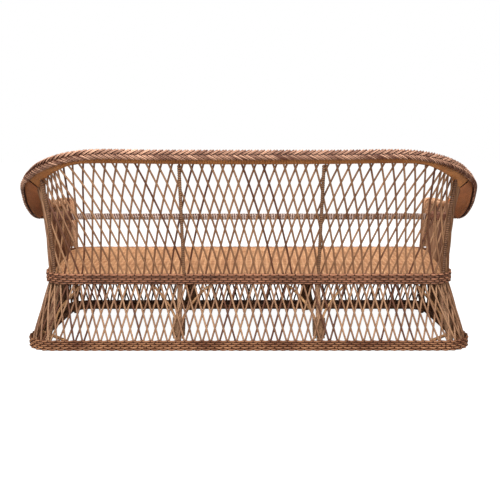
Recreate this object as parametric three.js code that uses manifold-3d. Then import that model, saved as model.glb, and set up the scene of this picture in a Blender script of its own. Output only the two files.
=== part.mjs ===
// Rattan garden sofa built from bent poles, cane lattice and woven bands, in millimetres.
// +Z is up, the seat faces -Y and the back stands at +Y. Left is the sitter's left, at +X.
import * as THREE from 'three';
import { mergeVertices } from 'three/addons/utils/BufferGeometryUtils.js';
import Module from 'manifold-3d';

const wasm = await Module();
wasm.setup();

// Gap kept between pieces that touch on the real sofa
const clearance = 0.3;

// Base ring that stands on the ground: a woven band round a bent pole
const baseHalfWidth = 932;
const baseHalfDepth = 375;
const baseCornerRadius = 120;
const baseFrontRadius = 120;
const baseBandHeight = 44;
const bandThickness = 12;
const basePoleDiameter = 24;
const basePoleLift = 4;

// Waist ring at the seat: distances from the middle of the base, and the corner radius. The
// skirt spreads from the waist to the wider base ring.
const skirtSpread = 62;
const skirtRearSpread = 75;
const skirtFrontSpread = 7;
const waistHalfWidth = baseHalfWidth - skirtSpread;
const waistRear = baseHalfDepth - skirtRearSpread;
const waistFront = baseHalfDepth - skirtFrontSpread;
const waistCornerRadius = 115;
const waistFrontRadius = 80;
const waistSplay = 45;
const seatBandHeight = 45;
const seatBandRearTop = 307;
const seatBandFrontTop = 326;
const seatRearHeight = 300;
const seatFrontHeight = 326;
const seatPanelThickness = 8;
const seatFrontRadius = 95;
const seatPoleDiameter = 26;

// Arms and back: the top rail runs from arm front to arm front and leans out from the waist.
// The braid lies outside it: beside and above it at the back, further out and lower at the arms.
const armFrontStep = 23;
const armFrontReach = waistFront - armFrontStep;
const armLean = 55;
const backLean = 105;
const railHalfWidth = waistHalfWidth + armLean;
const railRear = waistRear + backLean;
const railHeight = 774;
const railDrop = 218;
const railDiameter = 18;
const rimOverhang = 115;
const rimBackReach = 40;
const rimBackRise = 22;
const rimFall = 102;
const braidHalfWidth = railHalfWidth + rimOverhang;
const braidRear = railRear + rimBackReach;
const braidHeight = railHeight + rimBackRise;
const braidDrop = railDrop + rimFall;
const braidWidth = 46;
const braidThickness = 20;
const rimPoleDiameter = 20;
const rimCoreThickness = 8;

// Each row is a place along half the rim, from the middle of the back to the arm front:
// the share of the half width, of the reach from arm front to back, and of the drop.
const railShares = [
  [0, 1, 0.019], [0.378, 1, 0.01], [0.649, 1, 0], [0.743, 0.995, 0.026], [0.81, 0.961, 0.122],
  [0.87, 0.87, 0.228], [0.903, 0.822, 0.297], [0.932, 0.763, 0.4], [0.962, 0.695, 0.5],
  [0.989, 0.592, 0.61], [1, 0.487, 0.74], [1, 0.355, 0.926], [1, 0.197, 1], [1, 0.092, 1],
  [1, 0, 0.971],
];
const braidShares = [
  [0, 1, 0.006], [0.337, 1, 0.005], [0.582, 0.999, 0], [0.673, 0.978, 0.034], [0.736, 0.943, 0.081],
  [0.804, 0.867, 0.153], [0.833, 0.819, 0.191], [0.864, 0.759, 0.241], [0.897, 0.69, 0.294],
  [0.938, 0.584, 0.388], [0.965, 0.475, 0.508], [0.989, 0.342, 0.69], [1, 0.19, 0.87],
  [1, 0.089, 0.93], [0.9985, 0, 0.94],
];
// How far the face of the braid tips up from level at each of those places, in degrees
const braidTipDegrees = [5, 5, 5, 5, 8, 12, 16, 22, 28, 34, 36, 32, 26, 22, 20];

// Cane lattice: two layers of canes that cross, held between two selvage strips
const caneThickness = 5;
const selvageThickness = 14;
const selvageHeight = 14;
const wallPitch = 104;
const wallTravel = 140;
const skirtPitch = 126;
const skirtTravel = 75;
const panelEndGap = 6;
const skirtSelvageLift = 14;
const caneRoot = 3;

// Twined band round the back and the arms: its fall below the top rail at the back and in front
const midBandHeight = 26;
const midBandThickness = 6;
const midBandRearFall = 227;
const midBandFrontFall = 60;
const midBandRearLevel = railHeight - midBandRearFall;
const midBandFrontLevel = railHeight - railDrop - midBandFrontFall;

// Posts, legs and their braces
const backPostDiameter = 15;
const middleLegOffset = 288;
const middleFootOffset = 296;
const middlePostPlaces = { left: { foot: 269, head: 246 }, right: { foot: 288, head: 264 } };
const middleLegDiameter = 24;
const cornerLegDiameter = 28;
const footLift = 5;
const braceDiameter = 11;
const lashingStart = 40;
const lashingHeight = 78;
const lashingWall = 5;
const cornerBraceDiameter = 14;
const cornerBraceInset = 3;
const cornerLegBraceStart = 95;
const cornerLegBraceBend = 40;
const cornerLegBraceReach = 107;
const armPostDiameter = 22;
const armPostLift = 3;
const armPostStand = 1.2;
const backPostTopGap = 1;
const seatBarDiameter = 22;
const seatBarPitch = 290;
const seatBarCount = 5;

// How the wall fans out over the back: shares of the way to the corner post at the foot, and
// of the way to the same post along the top rail
const postRailRow = 6;
const backFanShares = [[0, 0], [0.355, 0.35], [0.8, 0.82], [1, 1]];

// Where the back bends between the middle post and the rear corner, as shares of the way
const backBendShares = [0.62, 0.74, 0.83, 0.92];
const armSteps = 8;
const braidFlatShare = 0.58;

// How far the wall has leaned out at each third of its height: evenly over the back, and
// mostly in the upper two thirds round the corners and the arms
const backFlareShares = [0, 0.333, 0.667, 1];
const armFlareShares = [0, 0.12, 0.46, 1];

// Where each brace leaves its leg: shares of the spread, and of the way from lashing to seat
const braceSpread = 112;
const bracePathShares = [[0.04, 0.08], [0.13, 0.22], [0.29, 0.41], [0.53, 0.66], [0.78, 0.87], [1, 1]];

// Woven arm fronts: width at the seat, crest over the top rail and outer tip under the braid
const armFrontOutset = 2;
const armFrontFoot = 55;
const armFrontCrown = 22;
const armFrontCrestShift = 6;
const armFrontTipReach = 8;
const armFrontTipRise = 12;
const armFrontShoulder = 24;
const armFrontNeckFall = 10;
const armFrontInner = waistHalfWidth + armFrontOutset;
const armFrontCrest = railHalfWidth + armFrontCrestShift;
const armFrontCrestHeight = railHeight - railDrop + armFrontCrown;
const armFrontTip = braidHalfWidth + armFrontTipReach;
const armFrontTipHeight = braidHeight - braidDrop + armFrontTipRise;
const armFrontNeck = armFrontTipHeight - armFrontNeckFall;
const armFrontThickness = 18;
const armFrontSetback = 2.4;

const poleSides = 8;
const cornerSteps = 6;
const braceSides = 6;
const bentCaneSteps = 3;

const radiusOf = (diameter) => diameter / 2;
const selvageInset = bandThickness + clearance + selvageThickness / 2;
const insideSelvage = bandThickness + clearance + selvageThickness + clearance;
const layerOffset = caneThickness / 2 + clearance;
const basePoleInset = insideSelvage + radiusOf(basePoleDiameter);
const seatPoleInset = insideSelvage + radiusOf(seatPoleDiameter);

const finishes = {
  wovenBand: { color: 0x87644f, roughness: 0.7, metalness: 0 },
  wovenSeat: { color: 0xcfa077, roughness: 0.65, metalness: 0 },
  lattice: { color: 0x9c7558, roughness: 0.6, metalness: 0 },
  braid: { color: 0x96735f, roughness: 0.65, metalness: 0 },
  caneWrap: { color: 0x8c5a33, roughness: 0.55, metalness: 0 },
  wrappedPole: { color: 0x93775c, roughness: 0.6, metalness: 0 },
  barePole: { color: 0xa57c55, roughness: 0.6, metalness: 0 },
};

const sofa = new THREE.Group();

// A closed body from any three.js geometry: vertices joined, faces turned to point out
function closedBody(geometry) {
  const source = geometry.clone();
  source.deleteAttribute('normal');
  if (source.hasAttribute('uv')) source.deleteAttribute('uv');
  const joined = mergeVertices(source, clearance / 100);
  const place = joined.getAttribute('position');
  const order = Array.from(joined.getIndex().array);
  const corners = [new THREE.Vector3(), new THREE.Vector3(), new THREE.Vector3()];
  const kept = [];
  let volume = 0;
  for (let i = 0; i < order.length; i += 3) {
    const face = order.slice(i, i + 3);
    if (new Set(face).size < 3) continue;
    face.forEach((vertex, k) => corners[k].fromBufferAttribute(place, vertex));
    volume += corners[0].dot(corners[1].clone().cross(corners[2]));
    kept.push(face);
  }
  const faces = volume < 0 ? kept.map(([a, b, c]) => [a, c, b]) : kept;
  joined.setIndex(faces.flat());
  joined.computeVertexNormals();
  return joined;
}

function piece(name, geometry, finish, parent = sofa) {
  const mesh = new THREE.Mesh(closedBody(geometry), new THREE.MeshStandardMaterial(finishes[finish]));
  mesh.name = name;
  parent.add(mesh);
  return mesh;
}

function asManifold(geometry) {
  const body = closedBody(geometry);
  return new wasm.Manifold(new wasm.Mesh({
    numProp: 3,
    vertProperties: Float32Array.from(body.getAttribute('position').array),
    triVerts: Uint32Array.from(body.getIndex().array),
  }));
}

function asGeometry(manifold) {
  const { vertProperties, triVerts } = manifold.getMesh();
  const geometry = new THREE.BufferGeometry();
  geometry.setAttribute('position', new THREE.BufferAttribute(vertProperties, 3));
  geometry.setIndex(Array.from(triVerts));
  geometry.computeVertexNormals();
  return geometry;
}

// Skin over a row of outlines with equal counts; a closed row joins its end to its start
function loft(outlines, closed = false) {
  const count = outlines[0].length;
  const place = outlines.flat().flatMap((point) => [point.x, point.y, point.z]);
  const order = [];
  const rows = closed ? outlines.length : outlines.length - 1;
  for (let row = 0; row < rows; row += 1) {
    const next = (row + 1) % outlines.length;
    for (let k = 0; k < count; k += 1) {
      const beside = (k + 1) % count;
      const [a, b] = [row * count + k, row * count + beside];
      const [c, d] = [next * count + k, next * count + beside];
      order.push(a, c, b, b, c, d);
    }
  }
  if (!closed) {
    const last = (outlines.length - 1) * count;
    for (let k = 1; k < count - 1; k += 1) {
      order.push(0, k, k + 1, last, last + k + 1, last + k);
    }
  }
  const geometry = new THREE.BufferGeometry();
  geometry.setAttribute('position', new THREE.Float32BufferAttribute(place, 3));
  geometry.setIndex(order);
  geometry.computeVertexNormals();
  return geometry;
}

function poleShape(diameter) {
  return new THREE.Shape().absarc(0, 0, radiusOf(diameter), 0, Math.PI * 2);
}

// A straight round pole
function pole(curve, diameter) {
  return new THREE.ExtrudeGeometry(poleShape(diameter), {
    steps: 1, curveSegments: poleSides / 2, bevelEnabled: false, extrudePath: curve,
  });
}

// A pole through a row of points; sideways gives a direction square to its run
function tube(centres, diameter, sides, sideways) {
  const section = poleShape(diameter).getPoints(sides / 2).slice(1);
  return loft(centres.map((centre, k) => {
    const [before, after] = [centres[Math.max(k - 1, 0)], centres[Math.min(k + 1, centres.length - 1)]];
    const along = after.clone().sub(before).normalize();
    const out = sideways(along).normalize();
    const up = new THREE.Vector3().crossVectors(out, along);
    return section.map(({ x, y }) => centre.clone().addScaledVector(out, x).addScaledVector(up, y));
  }));
}

// Rounded rectangle in plan, walked from the middle of the back round by +X. It is held as
// nine stretches: half the back, corner, side, corner, front, corner, side, corner, half back.
// The splay is how much wider each side stands at the front than at the rear.
function roundedLoop(halfWidth, rear, front, radius, frontRadius = radius, splay = 0) {
  const straight = halfWidth - radius;
  const frontStraight = halfWidth + splay - frontRadius;
  const side = Math.hypot(rear + front - radius - frontRadius, splay);
  const [bend, frontBend] = [radius, frontRadius].map((each) => each * Math.PI / 2);
  return {
    halfWidth, rear, front, radius, frontRadius, splay, straight, frontStraight,
    lengths: [straight, bend, side, frontBend, frontStraight * 2, frontBend, side, bend, straight],
  };
}

function inset(loop, distance) {
  return roundedLoop(loop.halfWidth - distance, loop.rear - distance, loop.front - distance,
    loop.radius - distance, loop.frontRadius - distance, loop.splay);
}

function loopPoint(loop, stretch, share) {
  const { halfWidth, rear, front, radius, frontRadius, splay, straight, frontStraight } = loop;
  const cornerAt = (x, y, bend, start) => {
    const step = share * cornerSteps;
    const [before, after] = [Math.floor(step), Math.ceil(step)].map((each) => {
      const angle = start - each / cornerSteps * Math.PI / 2;
      return new THREE.Vector3(Math.cos(angle), Math.sin(angle), 0);
    });
    const spoke = before.lerp(after, step % 1);
    return { point: new THREE.Vector3(x, y, 0).addScaledVector(spoke, bend), out: spoke.clone().normalize() };
  };
  const along = (x0, y0, x1, y1, out) => ({
    point: new THREE.Vector3(x0, y0, 0).lerp(new THREE.Vector3(x1, y1, 0), share), out,
  });
  const [back, left, ahead, right] = [[0, 1], [1, 0], [0, -1], [-1, 0]].map(
    ([x, y]) => new THREE.Vector3(x, y, 0));
  const wide = halfWidth + splay;
  return [
    () => along(0, rear, straight, rear, back),
    () => cornerAt(straight, rear - radius, radius, Math.PI / 2),
    () => along(halfWidth, rear - radius, wide, frontRadius - front, left),
    () => cornerAt(frontStraight, frontRadius - front, frontRadius, 0),
    () => along(frontStraight, -front, -frontStraight, -front, ahead),
    () => cornerAt(-frontStraight, frontRadius - front, frontRadius, -Math.PI / 2),
    () => along(-wide, frontRadius - front, -halfWidth, rear - radius, right),
    () => cornerAt(-straight, rear - radius, radius, -Math.PI),
    () => along(-straight, rear, 0, rear, back),
  ][stretch]();
}

// Distance round the loop to a share of a stretch
function distanceTo(loop, stretch, share) {
  return loop.lengths.slice(0, stretch).reduce((sum, length) => sum + length, 0)
    + loop.lengths[stretch] * share;
}

// Which stretch a distance along the loop falls in, and the share of that stretch passed
function stretchAt(loop, distance) {
  let left = distance;
  for (let stretch = 0; stretch < loop.lengths.length; stretch += 1) {
    if (left <= loop.lengths[stretch]) return { stretch, share: left / loop.lengths[stretch] };
    left -= loop.lengths[stretch];
  }
  return { stretch: loop.lengths.length - 1, share: 1 };
}

// A ring that follows the loop: outlineAt gives the cross-section at each place
function ring(loop, outlineAt) {
  const outlines = [];
  for (const stretch of [1, 3, 5, 7]) {
    for (let step = 0; step <= cornerSteps; step += 1) {
      const { point, out } = loopPoint(loop, stretch, step / cornerSteps);
      outlines.push(outlineAt(point, out));
    }
  }
  return loft(outlines, true);
}

function bandOutline(thickness, lowAt, highAt) {
  return (point, out) => {
    const inner = point.clone().addScaledVector(out, -thickness);
    return [
      point.clone().setZ(lowAt(point.y)), point.clone().setZ(highAt(point.y)),
      inner.clone().setZ(highAt(point.y)), inner.clone().setZ(lowAt(point.y)),
    ];
  };
}

function ringPoleOutline(diameter, heightAt) {
  return (point, out) => poleShape(diameter).getPoints(poleSides / 2).slice(1).map(({ x, y }) => (
    point.clone().addScaledVector(out, x).setZ(heightAt(point.y) + y)));
}

// Height that changes evenly from the front of the waist ring to its back
const slope = (frontHeight, rearHeight) => (y) => THREE.MathUtils.mapLinear(
  y, -waistFront, waistRear, frontHeight, rearHeight);
const seatBandTop = slope(seatBandFrontTop, seatBandRearTop);
const seatBandBottom = (y) => seatBandTop(y) - seatBandHeight;
const seatTop = slope(seatFrontHeight, seatRearHeight);
const seatUnderside = (y) => seatTop(y) - seatPanelThickness;
const seatPoleHeight = (y) => seatUnderside(y) - clearance - radiusOf(seatPoleDiameter);
const seatPoleBottom = (y) => seatPoleHeight(y) - radiusOf(seatPoleDiameter);

const baseLoop = roundedLoop(baseHalfWidth, baseHalfDepth, baseHalfDepth, baseCornerRadius,
  baseFrontRadius);
const waistLoop = roundedLoop(waistHalfWidth, waistRear, waistFront, waistCornerRadius,
  waistFrontRadius, waistSplay);

// Base ring
piece('base_band', ring(baseLoop, bandOutline(bandThickness, () => 0, () => baseBandHeight)), 'wovenBand');
piece('base_ring_pole', ring(inset(baseLoop, basePoleInset),
  ringPoleOutline(basePoleDiameter, () => basePoleLift + radiusOf(basePoleDiameter))), 'barePole');

// Seat ring, woven seat and the bars under it
piece('seat_band', ring(waistLoop, bandOutline(bandThickness, seatBandBottom, seatBandTop)), 'wovenBand');
piece('seat_ring_pole', ring(inset(waistLoop, seatPoleInset),
  ringPoleOutline(seatPoleDiameter, seatPoleHeight)), 'barePole');

const seatFront = waistFront - bandThickness - clearance;
const sideRear = waistRear - waistCornerRadius;
const seatSplay = waistSplay * (sideRear + seatFront - seatFrontRadius)
  / (sideRear + waistFront - waistFrontRadius);
const seatLoop = roundedLoop(waistHalfWidth - insideSelvage, waistRear - insideSelvage, seatFront,
  waistCornerRadius - insideSelvage, seatFrontRadius, seatSplay);
const seatOutline = [1, 3, 5, 7].flatMap((stretch) => Array.from({ length: cornerSteps + 1 },
  (_, step) => loopPoint(seatLoop, stretch, step / cornerSteps).point));
piece('seat_panel', loft([seatUnderside, seatTop].map(
  (heightAt) => seatOutline.map((point) => point.clone().setZ(heightAt(point.y))))), 'wovenSeat');

for (let bar = 0; bar < seatBarCount; bar += 1) {
  const x = (bar - (seatBarCount - 1) / 2) * seatBarPitch;
  const ends = [seatPoleInset + radiusOf(seatPoleDiameter) + clearance - waistFront,
    waistRear - seatPoleInset - radiusOf(seatPoleDiameter) - clearance];
  const [from, to] = ends.map((y) => new THREE.Vector3(
    x, y, seatUnderside(y) - clearance - radiusOf(seatBarDiameter)));
  piece(`seat_cross_bar_${bar + 1}`, pole(new THREE.LineCurve3(from, to), seatBarDiameter), 'barePole');
}

// Legs with their braces and lashings. Each leg stands in a group of its own whose Z axis
// runs up the leg, from the foot inside the base ring to the pole under the seat.
function legGroup(foot, top, diameter) {
  const group = new THREE.Group();
  const rise = top.clone().sub(foot);
  const tilt = rise.angleTo(new THREE.Vector3(0, 0, 1));
  group.position.copy(foot);
  group.quaternion.setFromUnitVectors(new THREE.Vector3(0, 0, 1), rise.clone().normalize());
  sofa.add(group);
  const length = rise.length() - clearance * 2 / Math.cos(tilt) - radiusOf(diameter) * Math.tan(tilt);
  return { group, length };
}

function leg(name, diameter, parent, length) {
  const tip = new THREE.Vector3(0, 0, length);
  piece(name, pole(new THREE.LineCurve3(new THREE.Vector3(), tip), diameter), 'wrappedPole', parent);
}

function brace(side, length) {
  const beside = radiusOf(middleLegDiameter) + clearance + radiusOf(braceDiameter);
  const lashedTo = lashingStart + lashingHeight;
  const topEnd = length - radiusOf(braceDiameter) - clearance;
  const points = [[0, lashingStart - braceDiameter], [0, lashedTo]];
  bracePathShares.forEach(([outShare, upShare]) => points.push(
    [outShare * braceSpread, THREE.MathUtils.lerp(lashedTo, topEnd, upShare)]));
  return tube(points.map(([out, up]) => new THREE.Vector3(side * (beside + out), 0, up)),
    braceDiameter, braceSides, () => new THREE.Vector3(0, 1, 0));
}

function lashing() {
  const half = radiusOf(middleLegDiameter) + clearance + braceDiameter;
  const oval = (reach, radius) => new THREE.Shape()
    .absarc(reach - radius, 0, radius, -Math.PI / 2, Math.PI / 2)
    .absarc(radius - reach, 0, radius, Math.PI / 2, Math.PI * 3 / 2)
    .closePath();
  const bore = radiusOf(middleLegDiameter) + clearance;
  const outer = oval(half + clearance + lashingWall, bore + lashingWall);
  outer.holes.push(oval(half + clearance, bore));
  return new THREE.ExtrudeGeometry(outer, {
    depth: lashingHeight, steps: 1, curveSegments: 5, bevelEnabled: false,
  }).translate(0, 0, lashingStart);
}

const footReach = baseHalfDepth - basePoleInset - radiusOf(basePoleDiameter) - clearance
  - radiusOf(middleLegDiameter);
for (const [row, toward, topReach] of [['rear', 1, waistRear], ['front', -1, waistFront]]) {
  for (const [side, across] of [['left', 1], ['right', -1]]) {
    const topY = toward * (topReach - seatPoleInset);
    const lean = Math.max(0, toward * topY - footReach) / seatPoleBottom(topY);
    const foot = new THREE.Vector3(across * middleFootOffset,
      toward * (footReach - clearance - lean * (basePoleLift + radiusOf(basePoleDiameter))), footLift);
    const top = new THREE.Vector3(across * middleLegOffset, topY, seatPoleBottom(topY));
    const { group, length } = legGroup(foot, top, middleLegDiameter);
    leg(`${row}_middle_leg_${side}`, middleLegDiameter, group, length);
    for (const [which, sideways] of [['outer', across], ['inner', -across]]) {
      piece(`${row}_${side}_brace_${which}`, brace(sideways, length), 'barePole', group);
    }
    piece(`${row}_leg_lashing_${side}`, lashing(), 'caneWrap', group);
  }
}

const footRadius = baseCornerRadius - basePoleInset - radiusOf(basePoleDiameter) - clearance
  - radiusOf(cornerLegDiameter);
const cornerFoot = new THREE.Vector2(baseHalfWidth - baseCornerRadius, baseHalfDepth - baseCornerRadius)
  .addScalar(footRadius * Math.SQRT1_2);
const legTopLoop = inset(waistLoop, insideSelvage + clearance + radiusOf(cornerLegDiameter));
const frontLegY = baseFrontRadius - baseHalfDepth;
const frontLegX = baseHalfWidth - basePoleInset - radiusOf(basePoleDiameter) - clearance
  - radiusOf(cornerLegDiameter);
const sideShare = (sideRear - frontLegY) / (sideRear + waistFront - waistFrontRadius);
for (const [side, across] of [['left', 1], ['right', -1]]) {
  for (const [row, footX, footY, top] of [
    ['rear', cornerFoot.x, cornerFoot.y, loopPoint(legTopLoop, 1, 0.5).point],
    ['front', frontLegX, frontLegY, loopPoint(legTopLoop, 2, sideShare).point],
  ]) {
    const { group, length } = legGroup(
      new THREE.Vector3(across * footX, footY, footLift),
      new THREE.Vector3(across * top.x, top.y, seatPoleBottom(top.y)), cornerLegDiameter);
    leg(`${row}_corner_leg_${side}`, cornerLegDiameter, group, length);
  }
}

// A bent brace lies against each rear corner leg and rises to the seat ring, towards the middle
const ringRear = waistRear - seatPoleInset;
const legHead = loopPoint(legTopLoop, 1, 0.5).point.setZ(seatPoleBottom(ringRear));
const legFoot = new THREE.Vector3(cornerFoot.x, cornerFoot.y, footLift);
const braceHead = new THREE.Vector3(legHead.x - cornerLegBraceReach, ringRear,
  seatPoleBottom(ringRear) - clearance - radiusOf(braceDiameter));
const besideLeg = radiusOf(cornerLegDiameter) + clearance * 2 + radiusOf(braceDiameter);
const legBraceLine = [0, cornerLegBraceBend].map((rise) => {
  const centre = legFoot.clone().lerp(legHead, (cornerLegBraceStart + rise) / legHead.z);
  return centre.addScaledVector(braceHead.clone().sub(centre).setZ(0).normalize(), besideLeg);
});
legBraceLine.push(braceHead);
const legBrace = tube(legBraceLine, braceDiameter, braceSides,
  (run) => new THREE.Vector3().crossVectors(run, new THREE.Vector3(0, 0, 1)));
piece('rear_corner_leg_brace_left', legBrace, 'barePole');
piece('rear_corner_leg_brace_right', legBrace.clone().scale(-1, 1, 1), 'barePole');

// Braces laid across the rear corners of the base, on the base pole and against the corner legs
const braceEndGap = cornerBraceInset + radiusOf(cornerBraceDiameter) * Math.SQRT1_2;
const braceHeight = basePoleLift + basePoleDiameter + clearance + radiusOf(cornerBraceDiameter);
const legTop = loopPoint(legTopLoop, 1, 0.5).point;
const legPassed = (braceHeight + radiusOf(cornerBraceDiameter)) / seatPoleBottom(legTop.y);
const braceLine = THREE.MathUtils.lerp(cornerFoot.x + cornerFoot.y, legTop.x + legTop.y, legPassed)
  - (radiusOf(cornerLegDiameter) + clearance + radiusOf(cornerBraceDiameter)) * Math.SQRT2;
for (const [side, across] of [['left', 1], ['right', -1]]) {
  const rearY = baseHalfDepth - insideSelvage - braceEndGap;
  const sideX = baseHalfWidth - insideSelvage - braceEndGap;
  const from = new THREE.Vector3(across * (braceLine - rearY), rearY, braceHeight);
  const to = new THREE.Vector3(across * sideX, braceLine - sideX, braceHeight);
  piece(`corner_brace_${side}`, pole(new THREE.LineCurve3(from, to), cornerBraceDiameter), 'barePole');
}

// Rim: the top rail, the rim pole outside it, the core between them and the braid
function rimCurve(shares, halfWidth, rear, height, drop) {
  const half = shares.map(([xShare, yShare, dropShare]) => new THREE.Vector3(
    xShare * halfWidth, yShare * (rear + armFrontReach) - armFrontReach, height - dropShare * drop));
  const mirrored = half.slice(1).map(({ x, y, z }) => new THREE.Vector3(-x, y, z));
  return new THREE.CatmullRomCurve3([...mirrored.reverse(), ...half], false, 'centripetal');
}

const railCurve = rimCurve(railShares, railHalfWidth, railRear, railHeight, railDrop);
const braidCurve = rimCurve(braidShares, braidHalfWidth, braidRear, braidHeight, braidDrop);
const rimRows = railShares.length - 1;
const railSamples = rimRows * 40;
railCurve.arcLengthDivisions = railSamples;
const railHalfLength = railCurve.getLength() / 2;

// The lattice wall stands on the waist ring, from one arm front round the back to the other.
// A place along it is the distance round the waist from the middle of the back.
const wallLoop = inset(waistLoop, selvageInset);
const wallTurn = distanceTo(wallLoop, 1, 0);
const wallPostAt = distanceTo(wallLoop, 1, 2 / cornerSteps);
const wallEnd = distanceTo(wallLoop, 3, 0.5);

const postRailAt = (1 + postRailRow / rimRows) / 2;

// Where the top rail carries that place: it fans out over the back, then runs evenly on
function rimPlace(distance) {
  const reach = Math.abs(distance);
  const postReach = railCurve.getLengths(railSamples)[Math.round(postRailAt * railSamples)] - railHalfLength;
  let railReach = THREE.MathUtils.mapLinear(reach, wallPostAt, wallEnd, postReach,
    railHalfLength - radiusOf(armPostDiameter));
  const row = backFanShares.findIndex(([share]) => share * wallPostAt >= reach);
  if (row >= 0) {
    const [[fromShare, fromRail], [toShare, toRail]] = [backFanShares[Math.max(row - 1, 0)], backFanShares[row]];
    const passed = row === 0 ? 0 : (reach / wallPostAt - fromShare) / (toShare - fromShare);
    railReach = THREE.MathUtils.lerp(fromRail, toRail, passed) * postReach;
  }
  return railCurve.getUtoTmapping((1 + Math.sign(distance) * railReach / railHalfLength) / 2);
}

// The face and width directions of the braid at a place along the rim
function braidFrame(at) {
  const along = braidCurve.getTangent(at);
  const row = Math.abs(at - 0.5) * 2 * rimRows;
  const [before, after] = [Math.floor(row), Math.ceil(row)].map((k) => braidTipDegrees[k]);
  const tip = THREE.MathUtils.degToRad(THREE.MathUtils.lerp(before, after, row % 1));
  const out = new THREE.Vector3(-along.y, along.x, 0).normalize();
  const face = out.multiplyScalar(Math.cos(tip)).setZ(Math.sin(tip));
  face.addScaledVector(along, -face.dot(along)).normalize();
  return { face, across: new THREE.Vector3().crossVectors(face, along).normalize() };
}

const rimPoleDepth = radiusOf(rimPoleDiameter) + clearance * 5 + braidThickness / 2;
const rimPolePoint = (at) => braidCurve.getPoint(at)
  .addScaledVector(braidFrame(at).face, -rimPoleDepth);

// Places along half the wall where its pieces bend: over the back, the corner, the arm and
// half the front corner
const halfPlaces = [0, middleLegOffset];
for (const share of backBendShares) halfPlaces.push(share * wallTurn);
for (const [stretch, steps, bends] of [[1, cornerSteps, cornerSteps], [2, armSteps, armSteps],
  [3, cornerSteps, cornerSteps / 2]]) {
  for (let step = 0; step < bends; step += 1) halfPlaces.push(distanceTo(wallLoop, stretch, step / steps));
}
halfPlaces.push(wallEnd);
const wallPlaces = [...halfPlaces.slice(1).map((place) => -place).reverse(), ...halfPlaces];
const rimPlaces = [0, ...wallPlaces.map(rimPlace), 1];

const acrossPlan = (along) => new THREE.Vector3(-along.y, along.x, 0);
const rimPole = (pointAt, diameter) => tube(rimPlaces.map(pointAt), diameter, poleSides, acrossPlan);
piece('top_rail_pole', rimPole((at) => railCurve.getPoint(at), railDiameter), 'caneWrap');
piece('rim_pole', rimPole(rimPolePoint, rimPoleDiameter), 'caneWrap');

const braidHalf = braidWidth / 2;
const braidRise = braidThickness / 2;
const braidSection = [[-1, 0], [-braidFlatShare, 1], [braidFlatShare, 1],
  [1, 0], [braidFlatShare, -1], [-braidFlatShare, -1]].map(([w, t]) => [w * braidHalf, t * braidRise]);
piece('rim_braid', loft(rimPlaces.map((at) => {
  const centre = braidCurve.getPoint(at);
  const { face, across } = braidFrame(at);
  return braidSection.map(
    ([w, t]) => centre.clone().addScaledVector(across, w).addScaledVector(face, t));
})), 'braid');

// Core of the wrapped rim, in three lengths that meet at the corner posts
function rimCore(places) {
  const half = rimCoreThickness / 2;
  return loft(places.map((at) => {
    const [inner, outer] = [railCurve.getPoint(at), rimPolePoint(at)];
    const reach = outer.clone().sub(inner).normalize();
    const along = railCurve.getTangent(at);
    const upright = new THREE.Vector3().crossVectors(reach, along).normalize();
    const slant = Math.sin(reach.angleTo(along));
    inner.addScaledVector(reach, (radiusOf(railDiameter) + clearance * 3) / slant);
    outer.addScaledVector(reach, -(radiusOf(rimPoleDiameter) + clearance * 3) / slant);
    return [[inner, -half], [inner, half], [outer, half], [outer, -half]].map(
      ([point, lift]) => point.clone().addScaledVector(upright, lift));
  }));
}
const seamAt = rimPlace(wallPostAt);
const seamGap = clearance / railHalfLength;
const rimBetween = (from, to) => [from, ...rimPlaces.filter(
  (at) => at > from + seamGap && at < to - seamGap), to];
piece('rim_core_back', rimCore(rimBetween(1 - seamAt + seamGap, seamAt - seamGap)), 'caneWrap');
piece('rim_core_right', rimCore(rimBetween(0, 1 - seamAt - seamGap)), 'caneWrap');
piece('rim_core_left', rimCore(rimBetween(seamAt + seamGap, 1)), 'caneWrap');

// The share of its lean that the wall has reached at a place and a share of its height
const flareFrom = backBendShares[0] * wallTurn;
function leanAt(distance, height) {
  const row = THREE.MathUtils.clamp(Math.floor(height * bentCaneSteps), 0, bentCaneSteps - 1);
  const [back, arm] = [backFlareShares, armFlareShares].map(
    (shares) => THREE.MathUtils.lerp(shares[row], shares[row + 1], height * bentCaneSteps - row));
  const turned = THREE.MathUtils.mapLinear(Math.abs(distance), flareFrom, wallPostAt, 0, 1);
  return THREE.MathUtils.lerp(back, arm, THREE.MathUtils.clamp(turned, 0, 1));
}

// A point on the wall at a place along it and a share of the height from the top of the seat
// band to the top rail. Below the band's top the wall drops straight down behind the band.
const wallRise = railHeight - seatBandTop(waistRear);
function wallPoint(distance, height, outward = 0) {
  const { stretch, share } = stretchAt(wallLoop, Math.abs(distance));
  const { point, out } = loopPoint(wallLoop, stretch, share);
  const side = Math.sign(distance) || 1;
  point.set(side * point.x, point.y, seatBandTop(point.y));
  out.x *= side;
  if (height < 0) return point.setZ(point.z + height * wallRise).addScaledVector(out, outward);
  const at = rimPlace(distance);
  const head = railCurve.getPoint(at);
  const down = point.clone().sub(head).normalize();
  const slant = Math.sin(down.angleTo(railCurve.getTangent(at)));
  head.addScaledVector(down, (radiusOf(railDiameter) + clearance * 2) / slant);
  const level = THREE.MathUtils.lerp(point.z, head.z, height);
  point.lerp(head, leanAt(distance, height)).setZ(level);
  if (outward === 0) return point;
  const probe = clearance * 10;
  const beside = wallPoint(distance + probe, height).sub(wallPoint(distance - probe, height));
  const rise = wallPoint(distance, height + probe / wallRise).sub(point);
  return point.addScaledVector(rise.cross(beside).normalize(), outward);
}

// Skirt: it spreads from the waist ring down to the base ring, all the way round
const skirtFootLoop = inset(baseLoop, selvageInset);
const skirtHeadLoop = inset(waistLoop, selvageInset);
const skirtLength = skirtFootLoop.lengths.reduce((sum, length) => sum + length, 0);

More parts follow.
